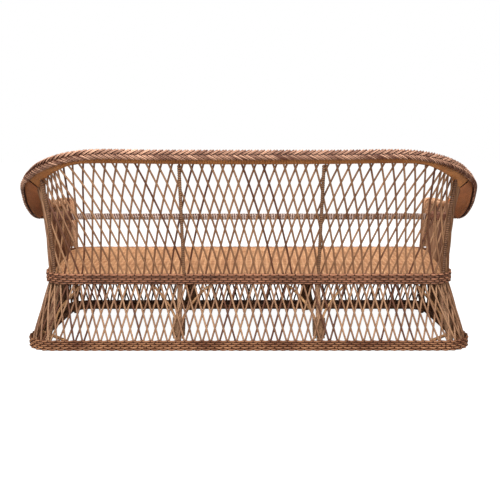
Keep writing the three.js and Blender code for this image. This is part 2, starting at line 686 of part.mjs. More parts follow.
// A point on the skirt: shares of the height from the top of its foot selvage to the underside
// of the seat band. Past either end it runs straight down or up.
const skirtRise = seatBandBottom(waistRear) - skirtSelvageLift - selvageHeight;
function skirtPoint(distance, height, outward = 0) {
  const { stretch, share } = stretchAt(skirtFootLoop, THREE.MathUtils.euclideanModulo(distance, skirtLength));
  const foot = loopPoint(skirtFootLoop, stretch, share);
  const head = loopPoint(skirtHeadLoop, stretch, share);
  const within = THREE.MathUtils.clamp(height, 0, 1);
  const bottom = skirtSelvageLift + selvageHeight;
  const level = THREE.MathUtils.lerp(bottom, seatBandBottom(head.point.y), within);
  return foot.point.lerp(head.point, within).setZ(level + (height - within) * skirtRise)
    .addScaledVector(foot.out, outward);
}
const skirtPlaces = [1, 3, 5, 7].flatMap((stretch) => Array.from({ length: cornerSteps + 1 },
  (_, step) => distanceTo(skirtFootLoop, stretch, step / cornerSteps)))
  .flatMap((place) => [place - skirtLength, place]).sort((a, b) => a - b);

// One cane of a layer, laid slanting over a surface between two heights
function caneRun(surface, start, travel, low, high, outward, steps) {
  const half = caneThickness / 2;
  const along = Array.from({ length: steps + 1 }, (_, step) => low + (high - low) * step / steps);
  const centres = along.map((height) => surface(start + travel * height, height, outward));
  const outlines = centres.map((centre, k) => {
    const [before, after] = [centres[Math.max(k - 1, 0)], centres[Math.min(k + 1, steps)]];
    const direction = after.clone().sub(before).normalize();
    const lifted = surface(start + travel * along[k], along[k], outward + caneThickness);
    const out = lifted.sub(centre);
    out.addScaledVector(direction, -out.dot(direction)).normalize();
    const across = new THREE.Vector3().crossVectors(direction, out);
    return [[-half, -half], [half, -half], [half, half], [-half, half]].map(
      ([w, t]) => centre.clone().addScaledVector(across, w).addScaledVector(out, t));
  });
  return loft(outlines);
}

// Strip that holds the ends of the canes; it bends at the places between its ends
function selvage(surface, from, to, low, high, places) {
  const half = selvageThickness / 2;
  const bends = places.filter((place) => place > from + half && place < to - half);
  return loft([from, ...bends, to].map((distance) => [[low, -half], [low, half], [high, half], [high, -half]].map(
    ([height, outward]) => surface(distance, height, outward))));
}

// A lattice panel: an outer layer slanting one way, an inner layer the other way, both held
// in the selvages at the foot and the head
function lattice(surface, places, from, to, rise, pitch, travel, headSelvage) {
  const edge = selvageHeight / rise;
  const root = caneRoot / rise;
  const [headLow, headHigh] = headSelvage.map((share) => 1 + share * edge);
  let body = asManifold(selvage(surface, from, to, -edge, 0, places))
    .add(asManifold(selvage(surface, from, to, headLow, headHigh, places)));
  const first = Math.floor((from - travel) / pitch);
  const last = Math.ceil((to + travel) / pitch);
  for (const [slant, outward] of [[travel, layerOffset], [-travel, -layerOffset]]) {
    for (let k = first; k <= last; k += 1) {
      const start = (k + 0.5) * pitch - slant / 2;
      const crossings = [(from - start) / slant, (to - start) / slant].sort((a, b) => a - b);
      const low = Math.max(-root, crossings[0]);
      const high = Math.min(headLow + root, crossings[1]);
      const anchored = low === -root || high === headLow + root;
      if (!anchored || high - low < edge * 2) continue;
      const reach = [start + slant * low, start + slant * high];
      const bends = places.some((place) => place > Math.min(...reach) && place < Math.max(...reach));
      body = body.add(asManifold(caneRun(surface, start, slant, low, high, outward,
        bends ? bentCaneSteps : 1)));
    }
  }
  return asGeometry(body);
}

const armWallEnd = wallEnd - radiusOf(armPostDiameter) - panelEndGap / 2;

piece('back_lattice_centre', lattice(wallPoint, wallPlaces, panelEndGap - middleLegOffset,
  middleLegOffset - panelEndGap, wallRise, wallPitch, wallTravel, [-1, 0]), 'lattice');
for (const [name, from, to] of [
  ['back_lattice', middleLegOffset + panelEndGap, wallPostAt - panelEndGap],
  ['arm_lattice', wallPostAt + panelEndGap, armWallEnd],
]) {
  const panel = lattice(wallPoint, wallPlaces, from, to, wallRise, wallPitch, wallTravel, [-1, 0]);
  piece(`${name}_left`, panel, 'lattice');
  piece(`${name}_right`, panel.clone().scale(-1, 1, 1), 'lattice');
}

const skirtRearCorner = distanceTo(skirtFootLoop, 1, 0.5);
const skirtFrontCorner = distanceTo(skirtFootLoop, 3, 0.5);
const skirtPanel = (from, to) => lattice(skirtPoint, skirtPlaces, from + panelEndGap, to - panelEndGap,
  skirtRise, skirtPitch, skirtTravel, [0, 1]);
piece('skirt_lattice_rear', skirtPanel(-skirtRearCorner, skirtRearCorner), 'lattice');
piece('skirt_lattice_front', skirtPanel(skirtFrontCorner, skirtLength - skirtFrontCorner), 'lattice');
const skirtSide = skirtPanel(skirtRearCorner, skirtFrontCorner);
piece('skirt_lattice_left', skirtSide, 'lattice');
piece('skirt_lattice_right', skirtSide.clone().scale(-1, 1, 1), 'lattice');

// Twined band inside the lattice, level round the back and falling towards the arm fronts
const bandPlaces = [-armWallEnd, ...wallPlaces.slice(1, -1), armWallEnd];
piece('mid_band', loft(bandPlaces.map((distance) => {
  const [foot, head] = [wallPoint(distance, 0), wallPoint(distance, 1)];
  const level = THREE.MathUtils.mapLinear(head.y, -armFrontReach, railRear, midBandFrontLevel, midBandRearLevel);
  const middle = (level - foot.z) / (head.z - foot.z);
  const half = midBandHeight / 2 / (head.z - foot.z);
  const face = -layerOffset - caneThickness / 2 - clearance * 8;
  const section = [[middle - half, face], [middle + half, face],
    [middle + half, face - midBandThickness], [middle - half, face - midBandThickness]];
  return section.map(([height, outward]) => wallPoint(distance, height, outward));
})), 'wovenBand');

// Wrapped posts outside the lattice, from the seat band to the top rail
const postOutward = selvageThickness / 2 + clearance + radiusOf(backPostDiameter);
function backPost(name, footAt, headAt, steps) {
  const points = Array.from({ length: steps + 1 }, (_, step) => {
    const share = step / steps;
    return wallPoint(THREE.MathUtils.lerp(footAt, headAt, share),
      share * (1 - backPostTopGap / wallRise), postOutward);
  });
  const along = points[1].clone().sub(points[0]).normalize();
  const tilt = along.angleTo(new THREE.Vector3(0, 0, 1));
  const overBand = selvageInset - postOutward + clearance;
  const stand = seatBandTop(points[0].y) + clearance + overBand * Math.tan(tilt);
  points[0].addScaledVector(along, (stand - points[0].z) / along.z);
  piece(name, tube(points, backPostDiameter, poleSides,
    (run) => new THREE.Vector3().crossVectors(run, new THREE.Vector3(1, 0, 0))), 'wrappedPole');
}
for (const [side, across] of [['left', 1], ['right', -1]]) {
  const { foot, head } = middlePostPlaces[side];
  backPost(`back_post_middle_${side}`, across * foot, across * head, 1);
  backPost(`back_post_corner_${side}`, across * wallPostAt, across * wallPostAt, bentCaneSteps);
}

// Arm fronts: a post under the end of the rail and a woven scroll panel in front of it
for (const [side, across] of [['left', 1], ['right', -1]]) {
  const points = Array.from({ length: bentCaneSteps + 1 },
    (_, step) => wallPoint(across * wallEnd, step / bentCaneSteps));
  points[0].setZ(seatBandTop(points[0].y) + clearance + armPostStand);
  points[bentCaneSteps].setZ(points[bentCaneSteps].z - armPostLift);
  piece(`arm_front_post_${side}`, tube(points, armPostDiameter, poleSides,
    (run) => new THREE.Vector3().crossVectors(run, new THREE.Vector3(0, 1, 0))), 'wrappedPole');

  const floor = Math.max(seatFrontHeight, seatBandFrontTop) + clearance;
  const outline = new THREE.Shape();
  outline.moveTo(armFrontInner, floor);
  outline.lineTo(armFrontInner + armFrontShoulder / 2, armFrontCrestHeight - armFrontShoulder * 2);
  outline.quadraticCurveTo(armFrontInner + armFrontShoulder, armFrontCrestHeight, armFrontCrest, armFrontCrestHeight);
  outline.quadraticCurveTo(armFrontTip - armFrontShoulder, armFrontCrestHeight - armFrontShoulder / 2,
    armFrontTip, armFrontTipHeight);
  outline.quadraticCurveTo(armFrontTip - armFrontShoulder / 2, armFrontTipHeight - armFrontShoulder,
    armFrontTip - armFrontShoulder * 2, armFrontNeck);
  outline.quadraticCurveTo(armFrontInner + armFrontFoot, armFrontNeck - armFrontShoulder / 2,
    armFrontInner + armFrontFoot, floor);
  const panel = new THREE.ExtrudeGeometry(outline, {
    depth: armFrontThickness, steps: 1, curveSegments: 5, bevelEnabled: false,
  });
  panel.rotateX(Math.PI / 2).translate(0, -armFrontReach - armFrontSetback - clearance, 0);
  if (across < 0) panel.scale(-1, 1, 1);
  piece(`arm_front_panel_${side}`, panel, 'wovenSeat');
}

// The origin sits on the ground under the middle of the whole sofa
const bounds = new THREE.Box3().setFromObject(sofa);
sofa.position.set(0, -(bounds.min.y + bounds.max.y) / 2, -bounds.min.z);

export default sofa;
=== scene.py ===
import bisect
import itertools
import math
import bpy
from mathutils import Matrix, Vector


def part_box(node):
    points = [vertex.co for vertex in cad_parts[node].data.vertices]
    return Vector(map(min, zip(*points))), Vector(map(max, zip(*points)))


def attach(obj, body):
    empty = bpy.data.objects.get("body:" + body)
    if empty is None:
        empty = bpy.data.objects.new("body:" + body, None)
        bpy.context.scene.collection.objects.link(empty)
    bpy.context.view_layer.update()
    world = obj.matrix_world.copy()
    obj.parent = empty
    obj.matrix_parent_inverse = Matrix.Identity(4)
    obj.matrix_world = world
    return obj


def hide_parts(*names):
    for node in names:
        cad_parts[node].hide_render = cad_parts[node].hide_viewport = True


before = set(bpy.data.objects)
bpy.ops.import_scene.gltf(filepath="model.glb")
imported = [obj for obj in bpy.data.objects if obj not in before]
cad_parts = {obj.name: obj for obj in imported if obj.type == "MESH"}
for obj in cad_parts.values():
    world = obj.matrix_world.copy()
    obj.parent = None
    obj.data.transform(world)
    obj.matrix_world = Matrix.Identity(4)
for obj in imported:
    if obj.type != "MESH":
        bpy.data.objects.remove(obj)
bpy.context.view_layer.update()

from types import SimpleNamespace

import bpy
from mathutils import Vector

# The studio: a pale floor under a white surround, soft lamps, and a camera that stands behind
# the sofa at the height of a table, looking a little down on the back rail.
scene = bpy.context.scene
scene.view_settings.view_transform = "Standard"
white = (1.0, 1.0, 1.0, 1.0)


def in_scene(name, data):
    """An object of the data, put into the scene."""
    made = bpy.data.objects.new(name, data)
    scene.collection.objects.link(made)
    return made


def fill(tree, sockets, values):
    """Gives each named socket its value, or links it to another node's output."""
    for socket, value in values.items():
        if isinstance(value, bpy.types.NodeSocket):
            tree.links.new(value, sockets[socket])
        else:
            sockets[socket].default_value = value


def add_node(tree, kind, values=None, **settings):
    """Adds a node with its settings and inputs, and gives back its outputs."""
    node = tree.nodes.new(kind)
    for setting, value in settings.items():
        setattr(node, setting, value)
    fill(tree, node.inputs, values or {})
    return node.outputs


camera_data = bpy.data.cameras.new("photo_camera")
camera_data.sensor_width = 36.0
camera_data.lens = 47.52
camera = in_scene("photo_camera", camera_data)
camera.location = (0.0, 2.9435, 0.815)
camera.rotation_euler = (math.radians(90 - 8.62), 0.0, math.radians(180 - 0.10))
scene.camera = camera

world = bpy.data.worlds.new("white_surround")
scene.world = world
world.use_nodes = True
sky = world.node_tree
sky.nodes.clear()
sky_light = add_node(sky, "ShaderNodeBackground", {"Color": (1.0, 0.88, 0.76, 1.0), "Strength": 0.36})
sky_seen = add_node(sky, "ShaderNodeBackground", {"Color": white, "Strength": 1.0})
sky_mix = add_node(sky, "ShaderNodeMixShader", {
    "Fac": add_node(sky, "ShaderNodeLightPath")["Is Camera Ray"],
    1: sky_light["Background"], 2: sky_seen["Background"]})
add_node(sky, "ShaderNodeOutputWorld", {"Surface": sky_mix["Shader"]})

lamps_aim = Vector((0.0, 0.0, 0.4))
for name, place, size, power in [("lamp_over_camera", (0.8, 2.9, 3.1), 2.2, 130.0),
                                 ("lamp_over_seat", (-0.6, 0.2, 3.9), 2.4, 104.0),
                                 ("lamp_low_behind", (-0.7, 4.1, 1.75), 2.0, 66.0),
                                 ("lamp_in_front", (-1.5, -3.4, 2.4), 3.0, 9.0)]:
    lamp_data = bpy.data.lights.new(name, "AREA")
    lamp_data.shape = "DISK"
    lamp_data.size = size
    lamp_data.energy = power
    lamp = in_scene(name, lamp_data)
    lamp.location = place
    lamp.rotation_euler = (lamps_aim - Vector(place)).to_track_quat("-Z", "Y").to_euler()

floor_mesh = bpy.data.meshes.new("studio_floor")
floor_mesh.from_pydata([(-40, -40, 0), (40, -40, 0), (40, 40, 0), (-40, 40, 0)], [], [(0, 1, 2, 3)])
floor = in_scene("studio_floor", floor_mesh)
floor_finish = bpy.data.materials.new("pale_floor")
floor_finish.use_nodes = True
floor_tree = floor_finish.node_tree
floor_tree.nodes.clear()
floor_glow = add_node(floor_tree, "ShaderNodeMath", {
    0: add_node(floor_tree, "ShaderNodeLightPath")["Is Camera Ray"], 1: 0.955}, operation="MULTIPLY")
floor_sum = add_node(floor_tree, "ShaderNodeAddShader", {
    0: add_node(floor_tree, "ShaderNodeBsdfDiffuse", {"Color": (0.30, 0.30, 0.30, 1.0)})["BSDF"],
    1: add_node(floor_tree, "ShaderNodeEmission", {
        "Color": white, "Strength": floor_glow["Value"]})["Emission"]})
add_node(floor_tree, "ShaderNodeOutputMaterial", {"Surface": floor_sum["Shader"]})
floor_mesh.materials.append(floor_finish)

# Bent poles: the rings that the sofa is framed on, one on the ground inside the base band and
# one under the seat. They are bare rattan, steamed and bent, and show the joints of the plant;
# the lower one takes a darker copy of the finish, painted shade of its place under the seat.
base_centre = sum(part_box("base_band"), Vector()) / 2
up = Vector((0, 0, 1))
clearance = 0.0003


def on_side(vector, side):
    """The vector as it is on one side of the sofa: 1 for +X, -1 for its mirror image."""
    return Vector((side * vector.x, vector.y, vector.z))


def bent_ring(half, rear, front, bend, front_bend, splay=0.0):
    """A ring in plan, walked from the middle of the back round by +X, as nine stretches."""
    side = math.hypot(rear + front - bend - front_bend, splay)
    turn, front_turn = bend * math.pi / 2, front_bend * math.pi / 2
    lengths = [half - bend, turn, side, front_turn, (half + splay - front_bend) * 2,
               front_turn, side, turn, half - bend]
    return SimpleNamespace(half=half, rear=rear, front=front, bend=bend, front_bend=front_bend,
                           splay=splay, lengths=lengths, total=sum(lengths))


def inset(ring, by):
    return bent_ring(ring.half - by, ring.rear - by, ring.front - by, ring.bend - by,
                     ring.front_bend - by, ring.splay)


def ring_point(ring, stretch, share):
    """A point on the ring and the outward direction there."""
    if stretch > 4:
        point, out = ring_point(ring, 8 - stretch, 1 - share)
        return on_side(point, -1), on_side(out, -1)
    straight, front_straight = ring.half - ring.bend, ring.half + ring.splay - ring.front_bend
    rear_y, front_y = ring.rear - ring.bend, ring.front_bend - ring.front
    if stretch in (1, 3):
        x, y, bend, start = ((straight, rear_y, ring.bend, 1) if stretch == 1
                             else (front_straight, front_y, ring.front_bend, 0))
        angle = (start - share) * math.pi / 2
        out = Vector((math.cos(angle), math.sin(angle), 0))
        point = Vector((x, y, 0)) + out * bend
    else:
        (x0, y0), (x1, y1), out = {
            0: ((0, ring.rear), (straight, ring.rear), (0, 1, 0)),
            2: ((ring.half, rear_y), (ring.half + ring.splay, front_y), (1, 0, 0)),
            4: ((front_straight, -ring.front), (-front_straight, -ring.front), (0, -1, 0))}[stretch]
        point, out = Vector((x0 + (x1 - x0) * share, y0 + (y1 - y0) * share, 0)), Vector(out)
    return point + Vector((0, base_centre.y, 0)), out


def stretch_at(ring, distance):
    """Which stretch a distance along the ring falls in, and the share of it passed."""
    for stretch, length in enumerate(ring.lengths):
        if distance <= length:
            return stretch, distance / length
        distance -= length
    return len(ring.lengths) - 1, 1.0


def walk(ring, distance):
    return ring_point(ring, *stretch_at(ring, distance % ring.total))


base_ring = bent_ring(half=0.932, rear=0.375, front=0.375, bend=0.120, front_bend=0.120)
waist_ring = bent_ring(half=0.870, rear=0.300, front=0.368, bend=0.115, front_bend=0.080, splay=0.045)


def by_depth(front_height, rear_height):
    """A height that changes evenly from the front of the waist ring to its back."""
    def height(y):
        share = (y - base_centre.y + waist_ring.front) / (waist_ring.front + waist_ring.rear)
        return front_height + (rear_height - front_height) * share
    return height


seat_front_top, seat_rear_top, band_rear_top = 0.326, 0.300, 0.307
band_top, seat_top = by_depth(seat_front_top, band_rear_top), by_depth(seat_front_top, seat_rear_top)


def new_tree(name, kind, inputs, outputs):
    """A node tree with named sockets, with what its inputs bring and what its outputs take."""
    tree = bpy.data.node_groups.new(name, kind)
    for way, sockets in (("INPUT", inputs), ("OUTPUT", outputs)):
        for socket, value_kind in sockets.items():
            tree.interface.new_socket(socket, in_out=way, socket_type="NodeSocket" + value_kind)
    return tree, tree.nodes.new("NodeGroupInput").outputs, tree.nodes.new("NodeGroupOutput").inputs


def strand_tree():
    """Node tree that lays a cane along each path, flat side out, with its own shade of dye."""
    tree, given, result = new_tree(
        "canes_along_paths", "GeometryNodeTree",
        {"Paths": "Geometry", "Half Width": "Float", "Half Thickness": "Float", "Sides": "Int",
         "Seed": "Int", "Finish": "Material"}, {"Canes": "Geometry"})

    def put(kind, values=None, **settings):
        return add_node(tree, kind, values, **settings)

    def store(geometry, kind, domain, name, value):
        stored = put("GeometryNodeStoreNamedAttribute", {
            "Geometry": geometry, "Name": name, "Value": value}, data_type=kind, domain=domain)
        return stored["Geometry"]

    outward = put("GeometryNodeInputNamedAttribute", {"Name": "out"}, data_type="FLOAT_VECTOR")
    path = put("GeometryNodeMeshToCurve", {"Mesh": given["Paths"]})
    turned = put("GeometryNodeSetCurveNormal", {
        "Curve": path["Curve"], "Normal": outward["Attribute"]}, mode="FREE")
    length = put("GeometryNodeSplineParameter")["Length"]
    measured = store(turned["Curve"], "FLOAT", "POINT", "along", length)
    chance = put("FunctionNodeRandomValue", {"Seed": given["Seed"]}, data_type="FLOAT")["Value"]
    dyed = store(measured, "FLOAT", "CURVE", "dye", chance)
    circle = put("GeometryNodeCurvePrimitiveCircle", {"Resolution": given["Sides"], "Radius": 1.0})
    place = put("GeometryNodeInputPosition")["Position"]
    marked = store(circle["Curve"], "FLOAT_VECTOR", "POINT", "section", place)
    sizes = put("ShaderNodeCombineXYZ", {
        "X": given["Half Thickness"], "Y": given["Half Width"], "Z": 1.0})
    flat = put("GeometryNodeTransform", {"Geometry": marked, "Scale": sizes["Vector"]})
    swept = put("GeometryNodeCurveToMesh", {
        "Curve": dyed, "Profile Curve": flat["Geometry"], "Fill Caps": True})
    smooth = put("GeometryNodeSetShadeSmooth", {"Geometry": swept["Mesh"]})
    real = put("GeometryNodeRealizeInstances", {"Geometry": smooth["Geometry"]})
    dressed = put("GeometryNodeSetMaterial", {
        "Geometry": real["Geometry"], "Material": given["Finish"]})
    fill(tree, result, {"Canes": dressed["Geometry"]})
    return tree


cane_tree = strand_tree()
cane_seeds = itertools.count(1)


def canes(name, paths, size, finish, closed=False):
    """Canes along paths of (point, outward direction). The size is half the width along the
    surface, half the thickness out of it, and the number of sides."""
    half_width, half_thickness, sides = size
    points, edges, outs = [], [], []
    for path in paths:
        first = len(points)
        points += [point for point, _ in path]
        outs += [out for _, out in path]
        edges += [(first + k, first + k + 1) for k in range(len(path) - 1)]
        if closed:
            edges.append((len(points) - 1, first))
    mesh = bpy.data.meshes.new(name + "_paths")
    mesh.from_pydata(points, edges, [])
    facing = mesh.attributes.new("out", "FLOAT_VECTOR", "POINT")
    facing.data.foreach_set("vector", [x for out in outs for x in out])
    piece = in_scene(name, mesh)
    step = piece.modifiers.new("canes", "NODES")
    step.node_group = cane_tree
    given = {"Half Width": half_width, "Half Thickness": half_thickness, "Sides": sides,
             "Seed": next(cane_seeds), "Finish": finish}
    for item in cane_tree.interface.items_tree:
        if item.name in given:
            step[item.identifier] = given[item.name]
    made = bpy.data.meshes.new_from_object(
        piece.evaluated_get(bpy.context.evaluated_depsgraph_get()))
    piece.modifiers.clear()
    piece.data = made
    made.name = name
    return piece


def settle(piece, slot, *nodes):
    """Fixes a finished piece to the sofa in the place of its plain solids."""
    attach(piece, "root")
    if nodes:
        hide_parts(*nodes)


def tint(red, green, blue):
    """A colour given as it looks on a screen, 0 to 255, turned into a shader's linear colour."""
    def linear(level):
        level /= 255.0
        return level / 12.92 if level <= 0.04045 else ((level + 0.055) / 1.055) ** 2.4
    return (linear(red), linear(green), linear(blue), 1.0)


def skin_group():
    """Cane skin: long streaks, a shade for each cane, edges darkened as painted shade between canes, dust
    and joint rings.
    """
    group, given, result = new_tree(
        "cane_skin", "ShaderNodeTree",
        {"Pale": "Color", "Deep": "Color", "Dye Spread": "Float", "Dark Canes": "Float",
         "Painted Crease Shade": "Float", "Joint Spacing": "Float", "Roughness": "Float"},
        {"Color": "Color", "Roughness": "Float", "Height": "Float"})
    streaks_across, streaks_along, streak_gloss = 2.2, 16.0, 0.22
    dust_scale, dust_shade = 9.0, 0.9
    joint_width, joint_shade, joint_depth = 0.012, 0.35, 1.5
    dark_from, painted_crease_power = 0.87, 3.0
    streak_shift, joint_shift = 60.0, 7.3

    def put(kind, values=None, **settings):
        return add_node(group, kind, values, **settings)

    def maths(operation, *values):
        return put("ShaderNodeMath", dict(enumerate(values)), operation=operation)["Value"]

    def noise(place, scale, detail):
        return put("ShaderNodeTexNoise", {"Vector": place, "Scale": scale, "Detail": detail})["Fac"]

    along, dye, section = (put("ShaderNodeAttribute", attribute_name=name)
                           for name in ("along", "dye", "section"))
    along, dye = along["Fac"], dye["Fac"]
    section = put("ShaderNodeSeparateXYZ", {"Vector": section["Vector"]})
    run = put("ShaderNodeCombineXYZ", {
        "X": maths("MULTIPLY", section["X"], streaks_across),
        "Y": maths("MULTIPLY", section["Y"], streaks_across),
        "Z": maths("ADD", maths("MULTIPLY", along, streaks_along), maths("MULTIPLY", dye, streak_shift))})
    streak = noise(run["Vector"], 1.0, 3.0)
    dust = noise(put("ShaderNodeTexCoord")["Object"], dust_scale, 2.0)
    joint = maths("LESS_THAN", maths("FRACT", maths(
        "ADD", maths("DIVIDE", along, given["Joint Spacing"]), maths("MULTIPLY", dye, joint_shift))),
        joint_width)
    shade = maths("MULTIPLY", maths("SUBTRACT", dye, 0.5), given["Dye Spread"])
    for more in (maths("SUBTRACT", streak, 0.5), maths("MULTIPLY", dust, dust_shade),
                 maths("MULTIPLY", maths("GREATER_THAN", dye, dark_from), given["Dark Canes"]),
                 # painted shade: the sides of each cane are darkened as if in the creases between canes
                 maths("MULTIPLY", maths("POWER", maths("ABSOLUTE", section["Y"]), painted_crease_power),
                       given["Painted Crease Shade"]),
                 maths("MULTIPLY", joint, joint_shade)):
        shade = maths("ADD", shade, more)
    tone = put("ShaderNodeMix", data_type="RGBA", values={
        "Factor": put("ShaderNodeClamp", {"Value": shade})["Result"],
        "A": given["Pale"], "B": given["Deep"]})
    fill(group, result, {
        "Color": tone["Result"],
        "Roughness": maths("ADD", given["Roughness"], maths("MULTIPLY", streak, streak_gloss)),
        "Height": maths("SUBTRACT", streak, maths("MULTIPLY", joint, joint_depth))})
    return group


cane_skin = skin_group()


# edge sets the painted crease shade, which darkens the sides of each cane where shade falls between canes
def cane_finish(name, pale, deep, dye=0.5, edge=0.3, joints=0.26, dark=0.0):
    """Finish of one kind of cane, from its palest and deepest shade."""
    finish = bpy.data.materials.new(name)
    finish.use_nodes = True
    tree = finish.node_tree
    skin = add_node(tree, "ShaderNodeGroup", {
        "Pale": tint(*pale), "Deep": tint(*deep), "Dye Spread": dye, "Dark Canes": dark,
        "Painted Crease Shade": edge, "Joint Spacing": joints, "Roughness": 0.42}, node_tree=cane_skin)
    raised = add_node(tree, "ShaderNodeBump", {
        "Height": skin["Height"], "Distance": 0.0006, "Strength": 0.8})
    fill(tree, tree.nodes["Principled BSDF"].inputs, {
        "Base Color": skin["Color"], "Roughness": skin["Roughness"], "Normal": raised["Normal"],
        "Specular IOR Level": 0.35})
    return finish


bare_rattan = cane_finish("bare_rattan", (230, 180, 130), (136, 90, 56), dye=0.3, edge=0.0, joints=0.31)
# A darker copy of bare rattan, painted shade, for the pole on the ground and the front braces under the
# seat.
rattan_painted_shade = cane_finish("rattan_painted_shade", (160, 110, 74), (90, 56, 34), dye=0.3, edge=0.0, joints=0.31)


def bare_pole(name, node, path, radius, sides, finish=bare_rattan, closed=False):
    """A round pole along a path, in the place of its plain solid."""
    settle(canes(name, [path], (radius, radius, sides), finish, closed), "bare_pole", node)


def ring_path(ring, height, pitch=0.03):
    """A path round the ring, at a height that may change with the depth."""
    count = round(ring.total / pitch)
    path = []
    for k in range(count):
        point, out = walk(ring, ring.total * k / count)
        path.append((point + up * height(point.y), out))
    return path


base_pole_inset, base_pole_radius, base_pole_height = 0.0386, 0.012, 0.016
seat_pole_inset, seat_pole_radius, seat_thickness = 0.0396, 0.013, 0.008


def seat_pole_height(y):
    return seat_top(y) - seat_thickness - clearance - seat_pole_radius


bare_pole("base_ring_bent_pole", "base_ring_pole",
          ring_path(inset(base_ring, base_pole_inset), lambda y: base_pole_height),
          base_pole_radius, 14, rattan_painted_shade, closed=True)
bare_pole("seat_ring_bent_pole", "seat_ring_pole",
          ring_path(inset(waist_ring, seat_pole_inset), seat_pole_height),
          seat_pole_radius, 14, closed=True)

# Bands: five rows of split cane woven in and out of thin stakes, round the foot of the sofa and
# round the waist. Neighbouring rows pass the stakes on opposite sides; the stakes and a closed sheet
# behind the rows take a dark finish, painted shade between the rows, with the lattice cane ends.
foot_cane = cane_finish("foot_band_cane", (246, 181, 132), (88, 45, 25), dye=0.7, edge=0.8, joints=0.5)
waist_cane = cane_finish("waist_band_cane", (194, 134, 101), (60, 30, 18), dye=0.7, edge=0.8, joints=0.5)
# Dark finish of the stakes and of the sheet behind the rows: painted shade between the rows.
band_gap_shade = cane_finish("band_cane_ends", (86, 52, 34), (46, 26, 16), dye=0.2, edge=0.0)
band_rows, band_inset, band_swing, band_stake_pitch = 5, 0.006, 0.0032, 0.0175
base_band_height, seat_band_height = 0.044, 0.045
stake_margin, liner_depth, liner_margin = 0.002, 0.0042, 0.0035
band_row_depth, band_stake_size, liner_half_depth = 0.0021, (0.0022, 0.0018, 5), 0.0008


def joined(name, parts):
    """Makes one piece of several."""
    with bpy.context.temp_override(active_object=parts[0], object=parts[0],
                                   selected_objects=parts, selected_editable_objects=parts):
        bpy.ops.object.join()
    parts[0].name = parts[0].data.name = name
    return parts[0]


def band_bottom(y):
    return band_top(y) - seat_band_height


def woven_band(node, ring, low, height, finish):
    """Rows and stakes of one band; low gives the height of its lower edge at a depth."""
    name = node + "_weave"
    middle = inset(ring, band_inset)
    stakes = 2 * round(middle.total / band_stake_pitch / 2)
    tall = height / band_rows / 2
    rows, uprights, liner = [], [], []
    for row in range(band_rows):
        path = []
        for k in range(stakes * 4):
            point, out = walk(middle, middle.total * k / stakes / 4)
            swing = band_swing * math.cos(math.pi * (k / 4 + row))
            lift = low(point.y) + tall + (height - 2 * tall) * row / (band_rows - 1)
            path.append((point + out * swing + up * lift, out))
        rows.append(path)
    for k in range(stakes):
        point, out = walk(middle, middle.total * k / stakes)
        foot = point + up * (low(point.y) + stake_margin)
        uprights.append([(foot, out), (foot + up * (height - 2 * stake_margin), out)])
        liner.append((point - out * liner_depth + up * (low(point.y) + height / 2), out))
    settle(joined(name, [
        canes(name + "_rows", rows, (tall, band_row_depth, 8), finish, closed=True),
        canes(name + "_stakes", uprights, band_stake_size, band_gap_shade),
        # The closed sheet behind the rows: painted shade in the gaps between them.
        canes(name + "_cane_ends", [liner], (height / 2 - liner_margin, liner_half_depth, 6),
              band_gap_shade, closed=True),
    ]), "woven_band", node)


woven_band("base_band", base_ring, lambda y: 0.0, base_band_height, foot_cane)
woven_band("seat_band", waist_ring, band_bottom, seat_band_height, waist_cane)

# Skirt: round peeled canes in two slanting layers that cross in diamonds, from the waist out and
# down to the base band, with their ends held behind the bands.
skirt_cane = cane_finish("skirt_cane", (184, 142, 107), (96, 57, 39), dye=0.5, edge=0.2, dark=0.35)
lattice_inset, lattice_size, layer_offset = 0.0193, (0.0040, 0.0040, 8), 0.0037
skirt_foot, skirt_head = inset(base_ring, lattice_inset), inset(waist_ring, lattice_inset)
skirt_gap, skirt_upright, skirt_lean = 0.035, 0.640, 0.070
skirt_low, skirt_end_rise = 0.028, 0.234


def skirt_point(distance, height, outward):
    """The rear canes stand straight; the corners take up the spread of the skirt."""
    around = distance % skirt_foot.total
    stretch, share = stretch_at(skirt_foot, around)
    foot, out = ring_point(skirt_foot, stretch, share)
    back = skirt_foot.total - around
    foot_bend, head_bend = (sum(ring.lengths[:2]) for ring in (skirt_foot, skirt_head))
    if min(around, back) < foot_bend:
        spread = (head_bend - skirt_upright) / (foot_bend - skirt_upright)
        reach = min(around, back, skirt_upright) + max(min(around, back) - skirt_upright, 0) * spread
        head, _ = walk(skirt_head, reach if around <= back else -reach)
    else:
        head, _ = ring_point(skirt_head, stretch, share)
    within = min(max(height, 0.0), 1.0)
    point = foot.lerp(head, within)
    point.z = (skirt_low + (band_bottom(head.y) - skirt_low) * within
               + (height - within) * skirt_end_rise)
    return point + out * outward, out


def slanting_canes(surface, numbers, pitch, run, low, high, steps, reach=math.inf):
    """Two layers of canes over a surface; run gives how far a cane has moved at a height."""
    paths = []
    for side in (1, -1):
        for k in numbers:
            path = []
            for step in range(steps + 1):
                height = low + (high - low) * step / steps
                distance = (k + 0.5) * pitch + side * run(height)
                if abs(distance) <= reach:
                    path.append(surface(distance, height, side * layer_offset))
            if len(path) > 2:
                paths.append(path)
    return paths


skirt_count = round(skirt_foot.total / skirt_gap)
skirt_paths = slanting_canes(skirt_point, range(skirt_count), skirt_foot.total / skirt_count,
                             lambda height: (height - 0.5) * skirt_lean, low=-0.09, high=1.14, steps=8)
settle(canes("skirt_cane_lattice", skirt_paths, lattice_size, skirt_cane),
       "cane_lattice", *(f"skirt_lattice_{side}" for side in ("rear", "front", "left", "right")))

